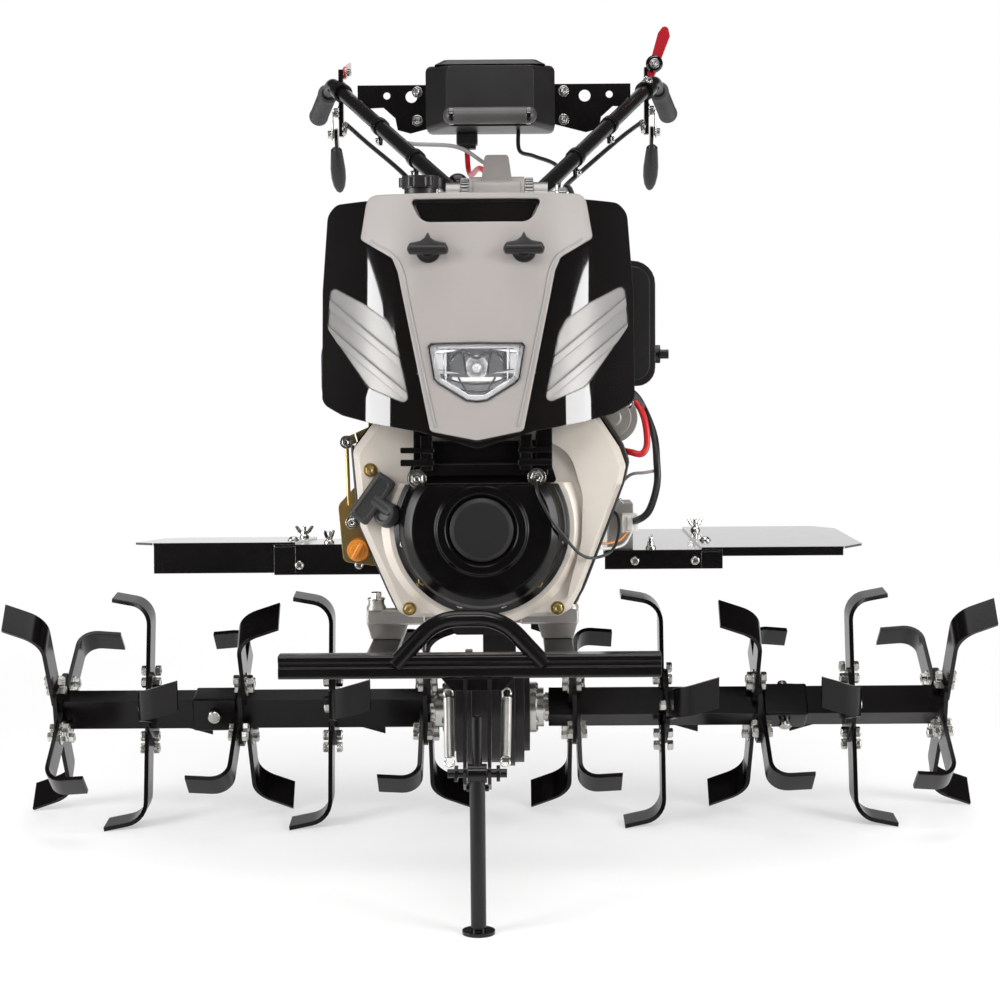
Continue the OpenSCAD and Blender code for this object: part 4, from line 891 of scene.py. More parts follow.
@dataclass
class Hood(Assembly):
    """Knobs, edge beads, headlamp fittings and latch brackets of the hood."""

    cowl_x: float = -22.0
    cowl_z: float = 562.827
    nose: float = 462.0
    half: float = 194.0
    sweep: float = 112.0
    lean: float = math.radians(11.0)
    rise: float = 8.0
    knob_x: float = 57.036
    knob_up: float = 228.0
    bead: Spots = (
        (48, 16), (58, 60), (69, 112), (80, 164), (86, 196), (93, 213), (104, 224), (128, 239))
    lamp_edge: Spots = (
        (-57, 110), (-54, 114), (0, 115), (54, 114), (57, 110), (50.5, 72), (44, 67), (12, 47.5), (0, 46),
        (-12, 47.5), (-44, 67), (-50.5, 72), (-57, 110))
    brow: Spots = (
        (-31, 93), (-24, 103), (-13, 104), (0, 97), (13, 104), (24, 103), (31, 93))
    creases: tuple[Spots, ...] = (
        ((-40, 75), (-20, 68), (0, 66), (20, 68), (40, 75)), ((-24, 60), (0, 57), (24, 60)),
        ((-9, 52), (-22, 74)), ((9, 52), (22, 74)))
    cover_spots: Spots = ((-95.6, 514.5), (49.0, 515.6))

    def skin(self, x: float, height: float, out: float = 0.0) -> Vector:
        """Returns a place on the hood's leaned face.

        Args:
            x: Distance from its middle.
            height: Height up its slope from the lower nose.
            out: Distance in front of the side panels' face.

        Returns:
            The place in metres.
        """
        deep = self.sweep * (abs(x) / self.half) ** 3 - out
        sin, cos = math.sin(self.lean), math.cos(self.lean)
        return self.datum.at(self.cowl_x + x, -self.nose + deep * cos + height * sin,
                             self.cowl_z - deep * sin + height * cos)

    def seen(self, x: float, up: float, out: float = 0.0) -> Vector:
        """Returns the place on the hood's face that lies at (x, up) of its front view."""
        deep = self.sweep * (abs(x) / self.half) ** 3 - out
        return self.skin(x, (up + deep * math.sin(self.lean)) / math.cos(self.lean), out)

    def facing(self, place: Vector) -> Matrix:
        """Returns the frame at a place with X across the hood, Y up its slope and Z out of it."""
        sin, cos = math.sin(self.lean), math.cos(self.lean)
        return Matrix(((1, 0, 0, place.x), (0, sin, -cos, place.y), (0, cos, sin, place.z), (0, 0, 0, 1)))

    def line(self, run: Spots, out: float, radius: float,
             smooth: bool = True) -> Obj:
        """Makes a rod along front-view places of the hood's face.

        Args:
            run: The places (x, up).
            out: Distance in front of the side panels' face.
            radius: The rod's radius in metres.
            smooth: Whether to run a smooth curve through the places.

        Returns:
            The rod.
        """
        return Bench.tube([self.seen(x, up, out) for x, up in run], radius, smooth)

    def knobs(self) -> None:
        """Sets the two wing knobs that hold the hood."""
        made = []
        for side in SIDES:
            stem = Bench.turned([(0.0150, -0.004), (0.0150, 0.002), (0.0105, 0.0035), (0.0095, 0.011)], 24)
            wing = Bench.plate([(-0.0225, -0.0075), (0.0225, -0.0075), (0.0250, -0.002), (0.0215, 0.0055),
                                (0.0090, 0.0080), (0.0035, 0.0120), (0.0, 0.0190), (-0.0035, 0.0120),
                                (-0.0090, 0.0080), (-0.0215, 0.0055), (-0.0250, -0.002)], 0.0105, 0.0022)
            Bench.moved(wing, Matrix.Translation((0.0, 0.0, 0.0095)))
            rib = Bench.slab((0.044, 0.0042, 0.003), 0.0010)
            Bench.moved(rib, Matrix.Translation((0, -0.001, 0.0205)))
            spot = self.skin(side * self.knob_x, self.knob_up, self.rise)
            made.append(Bench.moved(Bench.joined([stem, wing, rib]), self.facing(spot)))
        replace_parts(self.keep(Bench.joined(made), "hood_wing_knobs", CHARCOAL), "cowl_knobs")

    def beads(self) -> None:
        """Runs a raised bead inside each edge of the grey panel and a lip round the lamp."""
        lines = []
        for side in SIDES:
            run = [(side * x, up) for x, up in self.bead]
            lines.append(self.line(run, self.rise + 0.2, 0.0014))
        self.keep(Bench.joined(lines), "panel_beads", VENT_SILVER, smooth=WIRE_SMOOTH)
        lip = self.line(self.lamp_edge, self.rise + 1.0, 0.0016, False)
        self.keep(lip, "lamp_lip", GLOSS_BLACK, smooth=WIRE_SMOOTH)

    def lamp(self) -> None:
        """Fits the headlamp: dark bars, reflectors, bulb cup and the band behind the glass."""
        out = self.rise - 6.0
        self.lamp_bars(out)
        cup = Bench.turned([(0.004, -0.016), (0.010, -0.012), (0.0135, -0.002), (0.0145, 0.0), (0.0130, 0.0),
                            (0.0118, -0.003), (0.0080, -0.010), (0.0050, -0.012)], 28)
        bulb = Bench.turned([(0.0046, -0.013), (0.0058, -0.006), (0.0056, -0.001), (0.0036, 0.0025),
                             (0.001, 0.0036)], 18)
        wells = [Bench.moved(Bench.joined([cup, bulb]), self.facing(self.seen(0.0, 86.0, out - 3.0)))]
        for side in SIDES:
            well = Bench.slab((0.024, 0.028, 0.010), 0.0035, 3)
            with Bench.editing(well):
                Bench.pick(well, lambda face: face.normal.z > 0.9)
                bpy.ops.mesh.inset(thickness=0.002)
                bpy.ops.mesh.inset(thickness=0.004, depth=-0.006)
            narrow = Matrix.Scale(0.72, 4, (1, 0, 0))
            wells.append(Bench.moved(well, self.facing(self.seen(side * 45.0, 91.0, out - 9.0)) @ narrow))
        self.keep(Bench.joined(wells), "lamp_reflectors", LAMP_CHROME)
        band = Bench.slab((0.060, 0.0055, 0.003), 0.0012)
        self.keep(Bench.moved(band, self.facing(self.seen(0.0, 71.5, out - 3.0))), "lamp_band", PLUG_WHITE)

    def lamp_bars(self, out: float) -> None:
        """Sets the lamp's dark bars, corners, brow and creases.

        Args:
            out: Distance of the lamp's insides in front of the side panels' face.
        """
        bars = []
        for side in SIDES:
            bar = Bench.slab((0.0045, 0.036, 0.012), 0.0010)
            bars.append(Bench.moved(bar, self.facing(self.seen(side * 33.0, 92.0, out - 6.0))))
            fin = Bench.slab((0.0030, 0.030, 0.010), 0.0008)
            tilt = turned_by(-side * 9.0, "Z")
            bars.append(Bench.moved(fin, self.facing(self.seen(side * 15.0, 92.0, out - 6.0)) @ tilt))
            outline = [(-0.010, 0.0), (0.010, 0.0), (side * 0.010, -0.012)]
            corner = Bench.plate(outline[::-1 if side > 0 else 1], 0.002, 0.0)
            bars.append(Bench.moved(corner, self.facing(self.seen(side * 45.0, 111.0, out - 1.0))))
        bars.append(self.line(self.brow, out - 2.0, 0.0019))
        bars += [self.line(run, out - 1.5, 0.0012) for run in self.creases]
        self.keep(Bench.joined(bars), "lamp_frame", GLOSS_BLACK)

    def latches(self) -> None:
        """Bolts the black latch brackets over the recoil starter."""
        straps = []
        for middle, post in ((-95.0, -84.0), (47.0, 36.0)):
            for z, high, y in ((549.0, 0.007, -415.0), (534.0, 0.008, -415.5)):
                straps.append(self.put(Bench.slab((0.041, 0.008, high), 0.0014), (middle, y, z)))
            straps.append(self.put(Bench.slab((0.015, 0.006, 0.044), 0.0012), (post, -414.0, 546.0)))
        self.keep(Bench.joined(straps), "hood_latches", FRAME_BLACK)
        boss = Bench.turned([(0.0125, -0.001), (0.0125, 0.009), (0.0112, 0.0115), (0.0060, 0.0118)], 24)
        seats = [self.datum.at(x, -401.0, z) for x, z in self.cover_spots]
        self.bolts("cover_bosses", boss, seats, FRONT, RECOIL_BLACK)
        heads = [self.datum.at(x, -412.6, z) for x, z in self.cover_spots]
        self.bolts("cover_bolts", Hardware.hex_bolt(0.013), heads, FRONT)

    def build(self) -> None:
        """Fits out the hood."""
        self.knobs()
        self.beads()
        self.lamp()
        self.latches()


@dataclass
class EngineFront(Assembly):
    """Fasteners and small fittings on the fan shroud, the recoil starter and the engine's feet."""

    center: tuple[float, float] = (-18.0, 453.827)
    shroud_front: float = -385.0
    flange_front: float = -401.0
    rim_y: float = -312.0
    rim_grow: float = 6.0
    rim_cut: float = 0.10
    recoil_white: Spots = (
        (-95.0, -19.0), (94.0, -18.0), (-27.0, -93.0), (25.0, -93.0))
    recoil_gold: Spots = ((-73.0, -64.0), (68.0, -68.0))
    shroud_gold: Spots = ((-136.0, 70.0), (-90.0, -101.0), (92.0, -101.0))
    shroud_edge: Spots = (
        (-158, 94), (-150, 0), (-116, -80), (-104, -106), (-92, -113), (93, -113), (108, -104), (121, -80),
        (152, -1), (172, 51), (177, 73), (169, 95), (120, 170))

    def ring(self, spots: Spots, y: float) -> list[Vector]:
        """Returns places given about the crankshaft on one plane."""
        return [self.datum.at(self.center[0] + x, y, self.center[1] + z) for x, z in spots]

    def build(self) -> None:
        """Sets the screws of the shroud, the recoil cover and the feet."""
        for name, across, spots, y, finish in (
                ("recoil_screws", 0.009, self.recoil_white, self.flange_front, ZINC),
                ("recoil_gold_screws", 0.010, self.recoil_gold, self.flange_front, ZINC_GOLD),
                ("shroud_screws", 0.010, self.shroud_gold, self.shroud_front, ZINC_GOLD)):
            self.bolts(name, Hardware.hex_bolt(across), self.ring(spots, y), FRONT, finish)
        self.flanges()
        self.pull_handle()
        self.rim()

    def flanges(self) -> None:
        """Puts the cast base flanges with their bosses under the shroud and bolts them down."""
        parts = []
        for middle, boss in ((-129.0, -154.0), (65.0, 90.0)):
            parts.append(self.put(Bench.slab((0.074, 0.016, 0.020), 0.003, 3), (middle, -307.0, 333.0)))
            post = Bench.turned([(0.0125, 0.0), (0.0120, 0.004), (0.0100, 0.007), (0.0100, 0.012),
                                 (0.0085, 0.0135)], 20)
            parts.append(self.put(post, (boss, -306.0, 342.0)))
        self.keep(Bench.joined(parts), "base_flanges", ALLOY)
        places = self.datum.path((-154.0, -306.0, 355.2), (90.0, -306.0, 355.2))
        self.bolts("flange_bolts", Hardware.hex_bolt(0.013), places, UP)

    def rim(self) -> None:
        """Runs a black rubber rim round the shroud's edge and a dark sill under it."""
        grown = [Vector(spot) * (1.0 + self.rim_grow / math.hypot(*spot)) for spot in self.shroud_edge]
        way: list[Vector] = []
        for i, spot in enumerate(grown):
            for other in (grown[max(0, i - 1)], grown[min(len(grown) - 1, i + 1)]):
                way.append(spot.lerp(other, self.rim_cut))
        rim = Bench.tube(self.ring(way, self.rim_y), 0.0026, smooth=False)
        self.keep(rim, "shroud_rim", CABLE_BLACK, smooth=WIRE_SMOOTH)
        sill = self.put(Bench.slab((0.200, 0.010, 0.004), 0.001), (-20.0, -316.0, 341.0))
        self.keep(sill, "shroud_sill", CABLE_BLACK)

    def pull_handle(self) -> None:
        """Models the recoil's flat pull bar with its stem and the rope guide."""
        bar = Bench.slab((0.027, 0.017, 0.064), 0.0045, 3)
        with Bench.editing(bar):
            Bench.pick(bar, lambda face: face.normal.y < -0.95)
            bpy.ops.mesh.inset(thickness=0.0030)
            bpy.ops.mesh.inset(thickness=0.0012, depth=-0.0012)
        self.put(bar, (-151.0, -396.0, 490.0), turned_by(36.0, "Y"))
        stem = Bench.turned([(0.0105, 0.0), (0.0095, 0.004), (0.0080, 0.018), (0.0085, 0.026)], 20)
        self.aimed(stem, (-128.0, -400.0, 474.0), Vector((-0.80, 0.1, 0.58)))
        guide = Bench.turned([(0.0150, 0.0), (0.0155, 0.003), (0.0140, 0.012), (0.0100, 0.014),
                              (0.0085, 0.011)], 24)
        self.aimed(guide, (-131.0, -395.4, 468.0), Vector((-0.5, -0.8, 0.3)))
        whole = self.keep(Bench.joined([bar, stem, guide]), "pull_bar", HANDLE_GREY)
        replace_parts(whole, "recoil_handle")


@dataclass
class EngineSides(Assembly):
    """Starter leads, wiring, regulator plug, speed control linkage and the gear case's bolts."""

    starter_x: float = 146.0
    starter_z: float = 582.83
    axle_z: float = 160.827
    cap_r: float = 31.0
    case_spots: Spots = (
        (4, 380), (50, 380), (96, 382), (104, 440), (80, 500), (10, 514), (45, 518))

    def starter(self) -> None:
        """Rings, bolts and wires the starter motor."""
        band = Bench.turned([(0.0330, 0.0), (0.0338, 0.001), (0.0338, 0.007), (0.0330, 0.008)], 48)
        end = Bench.turned([(0.0240, -0.0003), (0.0236, 0.002), (0.0110, 0.003), (0.0105, 0.006),
                            (0.0080, 0.007)], 32)
        shell = [self.aimed(band, (self.starter_x, -228, self.starter_z), FRONT),
                 self.aimed(end, (self.starter_x, -300, self.starter_z), FRONT)]
        self.keep(Bench.joined(shell), "starter_rings", ALLOY)
        places = self.datum.path((165, -300, 601), (127, -300, 565))
        self.bolts("starter_bolts", Hardware.hex_bolt(0.009), places, FRONT)
        self.bolts("solenoid_stud", Hardware.hex_bolt(0.011), self.datum.path((144, -280, 541.8)), FRONT)
        self.wire("starter_lead", CABLE_RED, 0.0042, (166, -268, 606), (178, -284, 600), (187, -292, 580),
                  (190, -297, 550), (183, -300, 537), (169, -296, 539), (156, -283, 541))
        boot = Bench.turned([(0.0095, 0.0), (0.0102, 0.003), (0.0092, 0.012), (0.0062, 0.020),
                             (0.0054, 0.027)], 20)
        self.aimed(boot, (168, -269, 608), Vector((0.62, -0.62, -0.45)))
        self.keep(boot, "starter_boot", GRIP_RUBBER)

    def wiring(self) -> None:
        """Runs the charging leads from the engine to the regulator and its plug."""
        self.wire("charging_sleeve", CABLE_BLACK, 0.0048, (172, -96, 618), (188, -160, 602), (203, -225, 560),
                  (206, -246, 523), (206, -244, 492), (198, -205, 456), (184, -160, 440), (170, -137, 436))
        self.wire("charging_wire", CABLE_GREY, 0.0021, (204, -246, 512), (190, -250, 510), (172, -246, 507),
                  (160, -215, 490), (156, -170, 462), (158, -137, 445))
        self.wire("coil_wire", VALVE_ORANGE, 0.0018, (172, -158, 424), (160, -168, 414), (140, -180, 412),
                  (120, -200, 420), (104.4, -205, 430))
        self.wire("coil_wire_white", PLUG_WHITE, 0.0018, (178, -158, 424), (166, -174, 409), (142, -188, 406),
                  (120, -206, 412), (104.4, -213, 422))
        plug = Bench.slab((0.021, 0.022, 0.026), 0.0016)
        ribs = [Bench.moved(Bench.slab((0.0225, 0.0016, 0.022), 0.0006), Matrix.Translation((0, y, 0)))
                for y in (-0.006, 0.0, 0.006)]
        latch = Bench.moved(Bench.slab((0.008, 0.004, 0.018), 0.001), Matrix.Translation((0, -0.0125, 0.001)))
        whole = self.put(Bench.joined([plug, *ribs, latch]), (176, -148, 436))
        self.keep(whole, "regulator_plug", PLUG_WHITE)
        screws = self.datum.path((166, -130, 462.0), (166, -82, 462.0))
        self.bolts("regulator_screws", Hardware.dome_bolt(0.0038), screws, UP)
        self.wire("stop_wire", CABLE_BLACK, 0.0019, (44, -402, 526), (47, -424, 510), (51, -434, 494),
                  (65, -434.5, 467), (81, -421, 445), (99, -406, 423), (116, -394, 415), (140, -376, 421),
                  (152, -330, 440), (150, -299, 462), (124, -290, 470), (104.4, -288, 470))

    def controls(self) -> None:
        """Links the speed control and fits the fuel valve's tap."""
        upright = turned_by(90.0, "X")
        arm = Bench.plate([(-0.030, -0.006), (0.026, -0.006), (0.032, 0.0), (0.026, 0.006), (-0.030, 0.006),
                           (-0.036, 0.0)], 0.004, 0.0008)
        tab = Bench.plate([(-0.012, -0.020), (0.010, -0.020), (0.013, 0.016), (0.0, 0.024), (-0.013, 0.014)],
                          0.004, 0.0008)
        shift = Matrix.Translation(self.datum.at(-163, -292, 566))
        Bench.moved(arm, shift @ upright @ turned_by(24, "Z"))
        self.put(tab, (-150, -288, 570), upright)
        self.keep(Bench.joined([arm, tab]), "speed_arm", ZINC_GOLD)
        screws = self.datum.path((-190, -296, 554), (-138, -296, 577), (-150, -294, 482), (-150, -294, 408),
                                 (-184, -294, 452))
        self.bolts("speed_screws", Hardware.hex_bolt(0.010), screws, FRONT)
        knob = Bench.turned([(0.0085, 0.0), (0.0105, 0.003), (0.0105, 0.014), (0.0075, 0.018),
                             (0.0040, 0.0195)], 20)
        self.keep(self.aimed(knob, (-168, -296, 592), FRONT), "speed_knob", CHARCOAL)
        self.wire("speed_rod", ZINC, 0.0020, (-146, -297, 500), (-160, -300, 520), (-172, -300, 545),
                  (-178, -298, 566))
        tap = Bench.slab((0.007, 0.008, 0.024), 0.0022, 3)
        self.put(tap, (-176, -321, 417.8), turned_by(30, "Y"))
        self.keep(tap, "fuel_tap", VALVE_ORANGE)

    def drive(self) -> None:
        """Bolts the gear case's covers, the bearing caps, the column's foot, the hitch and the head."""
        for name, side, case_x, cap_x in (("left", -1.0, -102.0, -79.0), ("right", 1.0, 70.0, 51.0)):
            outward = Vector((side, 0, 0))
            places = [self.datum.at(case_x, y, z) for y, z in self.case_spots]
            self.bolts(f"case_bolts_{name}", Hardware.hex_bolt(0.013), places, outward)
            ring = [self.datum.at(cap_x, self.cap_r * math.cos(a), self.axle_z + self.cap_r * math.sin(a))
                    for a in (math.radians(30 + 60 * i) for i in range(6))]
            self.bolts(f"cap_bolts_{name}", Hardware.dome_bolt(0.0040), ring, outward)
        foot = [self.datum.at(x, y, 559.9) for x in (-42, 42) for y in (10, 80)]
        self.bolts("column_bolts", Hardware.hex_bolt(0.015), foot, UP)
        hitch = self.datum.path((-38, 152.0, 385.9), (6, 152.0, 385.9))
        self.bolts("hitch_bolts", Hardware.hex_bolt(0.015), hitch, REAR)
        cover = [self.datum.at(x, y, 730.63) for x in (-66, 34) for y in (-276, -138)]
        self.bolts("head_bolts", Hardware.hex_bolt(0.013, False), cover, -UP)

    def build(self) -> None:
        """Fits both sides of the engine and the drive."""
        self.starter()
        self.wiring()
        self.controls()
        self.drive()


@dataclass
class Fenders(Assembly):
    """Wing bolts, carriage bolts, eyelets and lap lips of the fenders, the left pair tilted up in front."""

    top: float = 396.827
    tilt: float = math.radians(4.0)
    lap_x: float = 287.0
    lap_w: float = 28.6
    lip_y: float = -148.5
    deep_left: float = 38.0
    deep_right: float = 23.0
    wing_span: float = 0.028
    wing_turns: tuple[float, float] = (20.0, 65.0)
    left_bolts: tuple[Point, ...] = ((-287, -40, 6), (-170, 60, 3), (-170, 120, 3))
    right_bolts: tuple[Point, ...] = ((287, -50, 6), (170, 120, 3))

    def tipped(self, x: float, y: float, up: float) -> Vector:
        """Returns a place of the left fenders after their tilt, up counted from the plates' underside."""
        sin, cos = math.sin(self.tilt), math.cos(self.tilt)
        return self.datum.at(x, y * cos + up * sin, self.top - y * sin + up * cos)

    def level(self, x: float, y: float, up: float) -> Vector:
        """Returns a place of the right fenders, up counted from the plates' underside."""
        return self.datum.at(x, y, self.top + up)

    def build(self) -> None:
        """Bolts the plates together and sets the eyelets."""
        leaning = Vector((0, math.sin(self.tilt), math.cos(self.tilt)))
        left = [self.tipped(-287, 110, 6), self.tipped(-232, -95, 3)]
        right = [self.level(287, 100, 6), self.level(206, -130, 3)]
        frames = [Bench.frame_at(p, leaning, t) for p, t in zip(left, self.wing_turns)]
        frames += [Bench.frame_at(p, UP, t + 15.0) for p, t in zip(right, self.wing_turns)]
        self.keep(Bench.spread(Hardware.wing_bolt(self.wing_span), frames), "fender_wing_bolts", ZINC)
        spots = [Bench.frame_at(self.tipped(*p), leaning) for p in self.left_bolts]
        spots += [Bench.frame_at(self.level(*p), UP) for p in self.right_bolts]
        self.keep(Bench.spread(Hardware.dome_bolt(0.0065), spots), "fender_bolts", ZINC)
        eye = Bench.turned([(0.0058, -0.0003), (0.0058, 0.0010), (0.0048, 0.0018), (0.0038, 0.0016),
                            (0.0034, 0.0002)], 24)
        ahead = Vector((0, -math.cos(self.tilt), math.sin(self.tilt)))
        eyes = [Bench.frame_at(self.tipped(x, -150, -25), ahead) for x in (-187, -267)]
        eyes += [Bench.frame_at(self.datum.at(x, -150, 385), FRONT) for x in (183, 264)]
        self.keep(Bench.spread(eye, eyes), "fender_eyelets", ZINC)
        self.lips()

    def lips(self) -> None:
        """Carries the front lip of each inner plate on under its lap with the outer plate."""
        made = []
        for x, deep, tilt, place in ((-self.lap_x, self.deep_left, self.tilt, self.tipped),
                                     (self.lap_x, self.deep_right, 0.0, self.level)):
            spot = place(x, self.lip_y, -deep / 2.0)
            lip = Bench.slab((self.lap_w / 1000.0, 0.003, deep / 1000.0), 0.0008)
            made.append(Bench.moved(lip, Matrix.Translation(spot) @ Matrix.Rotation(-tilt, 4, "X")))
        self.keep(Bench.joined(made), "fender_lips", FENDER_BLACK)


@dataclass
class Handlebar(Assembly):
    """Grips, levers, clamps and small fittings of the handlebar."""

    pivot: tuple[float, float] = (118.0, 889.904)
    roots: dict[float, tuple[Point, Point, Point]] = field(default_factory=lambda: {
        -1.0: ((-54.0, 118.0, 889.904), (-297.0, 800.0, 1143.9), (-336.8, 952.0, 1101.9)),
        1.0: ((54.0, 118.0, 889.904), (279.0, 800.0, 1143.9), (315.2, 952.0, 1101.9))})
    brackets: dict[float, Point] = field(default_factory=lambda: {
        -1.0: (-276.334, 742.0, 1122.3), 1.0: (259.865, 742.0, 1122.3)})
    grip_long: float = 0.118
    grip_ribs: int = 15
    rib_pitch: float = 0.0064
    teeth_count: int = 30
    clip_shares: tuple[float, float] = (0.30, 0.575)

    def grips(self) -> None:
        """Slips a ribbed rubber grip with a flanged end on each tube."""
        made = []
        for _low, bend, end in self.roots.values():
            tip, way = self.datum.at(*end), self.datum.at(*end) - self.datum.at(*bend)
            rings = [(0.0150, 0.0), (0.0182, 0.002), (0.0182, 0.007), (0.0160, 0.009)]
            for i in range(self.grip_ribs):
                z = 0.011 + self.rib_pitch * i
                rings += [(0.0157, z), (0.0170, z + 0.0016), (0.0170, z + 0.0036), (0.0157, z + 0.0052)]
            rings += [(0.0172, 0.109), (0.0178, 0.111), (0.0176, 0.115), (0.0140, 0.118), (0.0060, 0.1185)]
            start = tip - way.normalized() * self.grip_long
            made.append(Bench.moved(Bench.turned(rings, 28), Bench.frame_at(start, way)))
        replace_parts(self.keep(Bench.joined(made), "ribbed_grips", GRIP_RUBBER, Body.HANDLEBAR), "hand_grips")

    def levers(self) -> None:
        """Hangs the hand levers: a steel arm in the bracket and a thick tapered sleeve."""
        arms, sleeves, links = [], [], []
        for side, (x, y, z) in self.brackets.items():
            outward = Vector((side, 0, 0))
            arm = Bench.plate([(-0.010, -0.066), (-0.008, -0.084), (0.010, -0.106), (0.030, -0.124),
                               (0.040, -0.112), (0.026, -0.092), (0.010, -0.062)], 0.006, 0.0010)
            upright = Matrix(((0, 0, side, 0), (1, 0, 0, 0), (0, 1, 0, 0), (0, 0, 0, 1)))
            arms.append(self.put(arm, (x + side * 6.5, y, z), upright))
            sleeve = Bench.turned([(0.0050, 0.0), (0.0074, 0.004), (0.0086, 0.022), (0.0100, 0.046),
                                   (0.0098, 0.066), (0.0078, 0.084), (0.0046, 0.095), (0.0015, 0.099)], 28)
            start = self.datum.at(x + side * 11.5, y + 18.0, z - 96.0)
            Bench.moved(sleeve, Bench.frame_at(start, Vector((0.0, 64.0, -68.0))))
            wider = (Matrix.Translation((start.x, 0, 0)) @ Matrix.Diagonal((1.35, 1, 1, 1))
                     @ Matrix.Translation((-start.x, 0, 0)))
            sleeves.append(Bench.moved(sleeve, wider))
            link = Bench.slab((0.003, 0.012, 0.046), 0.0012)
            lean = turned_by(14.0, "X")
            links.append(self.put(link, (x + side * 15.0, y - 4.0, z - 58.0), lean))
            links.append(self.aimed(Hardware.hex_bolt(0.012), (x + side * 16.4, y, z - 74.0), outward))
            links.append(self.aimed(Hardware.hex_bolt(0.014), (x + side * 4.0, y, z - 36.0), outward))
            yoke = Bench.turned([(0.0062, 0.0), (0.0062, 0.014), (0.0042, 0.016), (0.0040, 0.030)], 6)
            links.append(self.aimed(yoke, (x - side * 8.0, y - 14.0, z - 58.0), Vector((0, -0.6, -0.5))))
        for parts, name, finish in ((sleeves, "lever_sleeves", SLEEVE_BLACK),
                                    (arms, "lever_arms", FRAME_BLACK)):
            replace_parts(self.keep(Bench.joined(parts), name, finish, Body.HANDLEBAR), "hand_levers")
        self.keep(Bench.joined(links), "lever_links", ZINC, Body.HANDLEBAR)

    def clutch(self) -> None:
        """Bolts the red clutch levers to their brackets."""
        boss = Bench.turned([(0.0150, -0.001), (0.0150, 0.005), (0.0125, 0.008), (0.0090, 0.0085)], 28)
        self.keep(self.aimed(boss, (273.0, 727.7, 1164.5), FRONT), "clutch_boss", GLOSS_BLACK, Body.HANDLEBAR)
        spots = self.datum.path((273.0, 719.4, 1164.5), (262.0, 732.0, 1136.0))
        self.bolts("clutch_bolts", Hardware.hex_bolt(0.010), spots, FRONT, body=Body.HANDLEBAR)
        left = self.datum.path((-267.3, 742.0, 1156.0), (-267.3, 760.0, 1158.0))
        inward = Vector((1, 0, 0))
        self.bolts("clutch_bolts_left", Hardware.hex_bolt(0.011), left, inward, body=Body.HANDLEBAR)

    def clamps(self) -> None:
        """Cuts the teeth of the tilt clamps, sets the pivot bolts and clips the cables to the tubes."""
        teeth, heads, rings = [], [], []
        y, z = self.pivot
        for side, (low, bend, _end) in self.roots.items():
            outward = Vector((side, 0, 0))
            for i in range(self.teeth_count):
                turn = math.radians(360.0 / self.teeth_count * i)
                tooth = Bench.slab((0.0115, 0.0026, 0.0030), 0.0006, 1)
                about = Matrix.Translation(self.datum.at(side * 47.0, y, z)) @ Matrix.Rotation(turn, 4, "X")
                teeth.append(Bench.moved(tooth, about @ Matrix.Translation((0, 0, 0.0273))))
            heads.append(self.aimed(Hardware.hex_bolt(0.024), (side * 86.0, y, z), outward))
            a, b = self.datum.at(*low), self.datum.at(*bend)
            for share in self.clip_shares:
                spot = a.lerp(b, share)
                ring = Bench.turned([(0.0128, -0.010), (0.0146, -0.0095), (0.0150, 0.0), (0.0146, 0.0095),
                                     (0.0128, 0.010)], 28)
                rings.append(Bench.moved(ring, Bench.frame_at(spot, b - a)))
                ear = Bench.slab((0.005, 0.016, 0.016), 0.0012)
                rings.append(Bench.moved(ear, Bench.frame_at(spot - Vector((0, 0, 0.021)), b - a)))
                head = spot + Vector((side * 0.0022, 0, -0.0235))
                heads.append(Bench.moved(Hardware.hex_bolt(0.009), Bench.frame_at(head, outward)))
        for parts, name, finish in ((teeth, "clamp_teeth", CLAMP_STEEL), (heads, "pivot_bolts", ZINC),
                                    (rings, "tube_clips", FRAME_BLACK)):
            self.keep(Bench.joined(parts), name, finish, Body.HANDLEBAR)

    def battery(self) -> None:
        """Screws the battery box to its plate and plugs its lead in under it."""
        screws = self.datum.path((-138, 640, 1060), (112, 640, 1060), (-138, 640, 1108), (112, 640, 1108))
        self.bolts("battery_screws", Hardware.hex_bolt(0.011), screws, FRONT, body=Body.HANDLEBAR)
        nuts = self.datum.path((-90, 644, 1062), (64, 644, 1062), (-90, 644, 1108), (64, 644, 1108))
        self.bolts("battery_nuts", Hardware.hex_bolt(0.011), nuts, REAR, body=Body.HANDLEBAR)
        plug = Bench.slab((0.036, 0.030, 0.020), 0.0025, 3)
        collar = Bench.moved(Bench.slab((0.030, 0.024, 0.010), 0.0015), Matrix.Translation((0, 0, -0.012)))
        whole = self.put(Bench.joined([plug, collar]), (-53, 620, 1025.6))
        self.keep(whole, "battery_plug", CABLE_BLACK, Body.HANDLEBAR)
        caps = []
        for x in (-77.0, 51.0):
            cap = Bench.turned([(0.0143, -0.004), (0.0150, -0.003), (0.0150, 0.003), (0.0143, 0.004)], 28)
            caps.append(self.aimed(cap, (x, 533.7, 1055.9), Vector((1, 0, 0))))
        self.keep(Bench.joined(caps), "roll_bands", GLOSS_BLACK, Body.HANDLEBAR)

    def build(self) -> None:
        """Fits out the handlebar."""
        self.grips()
        self.levers()
        self.clutch()
        self.clamps()
        self.battery()


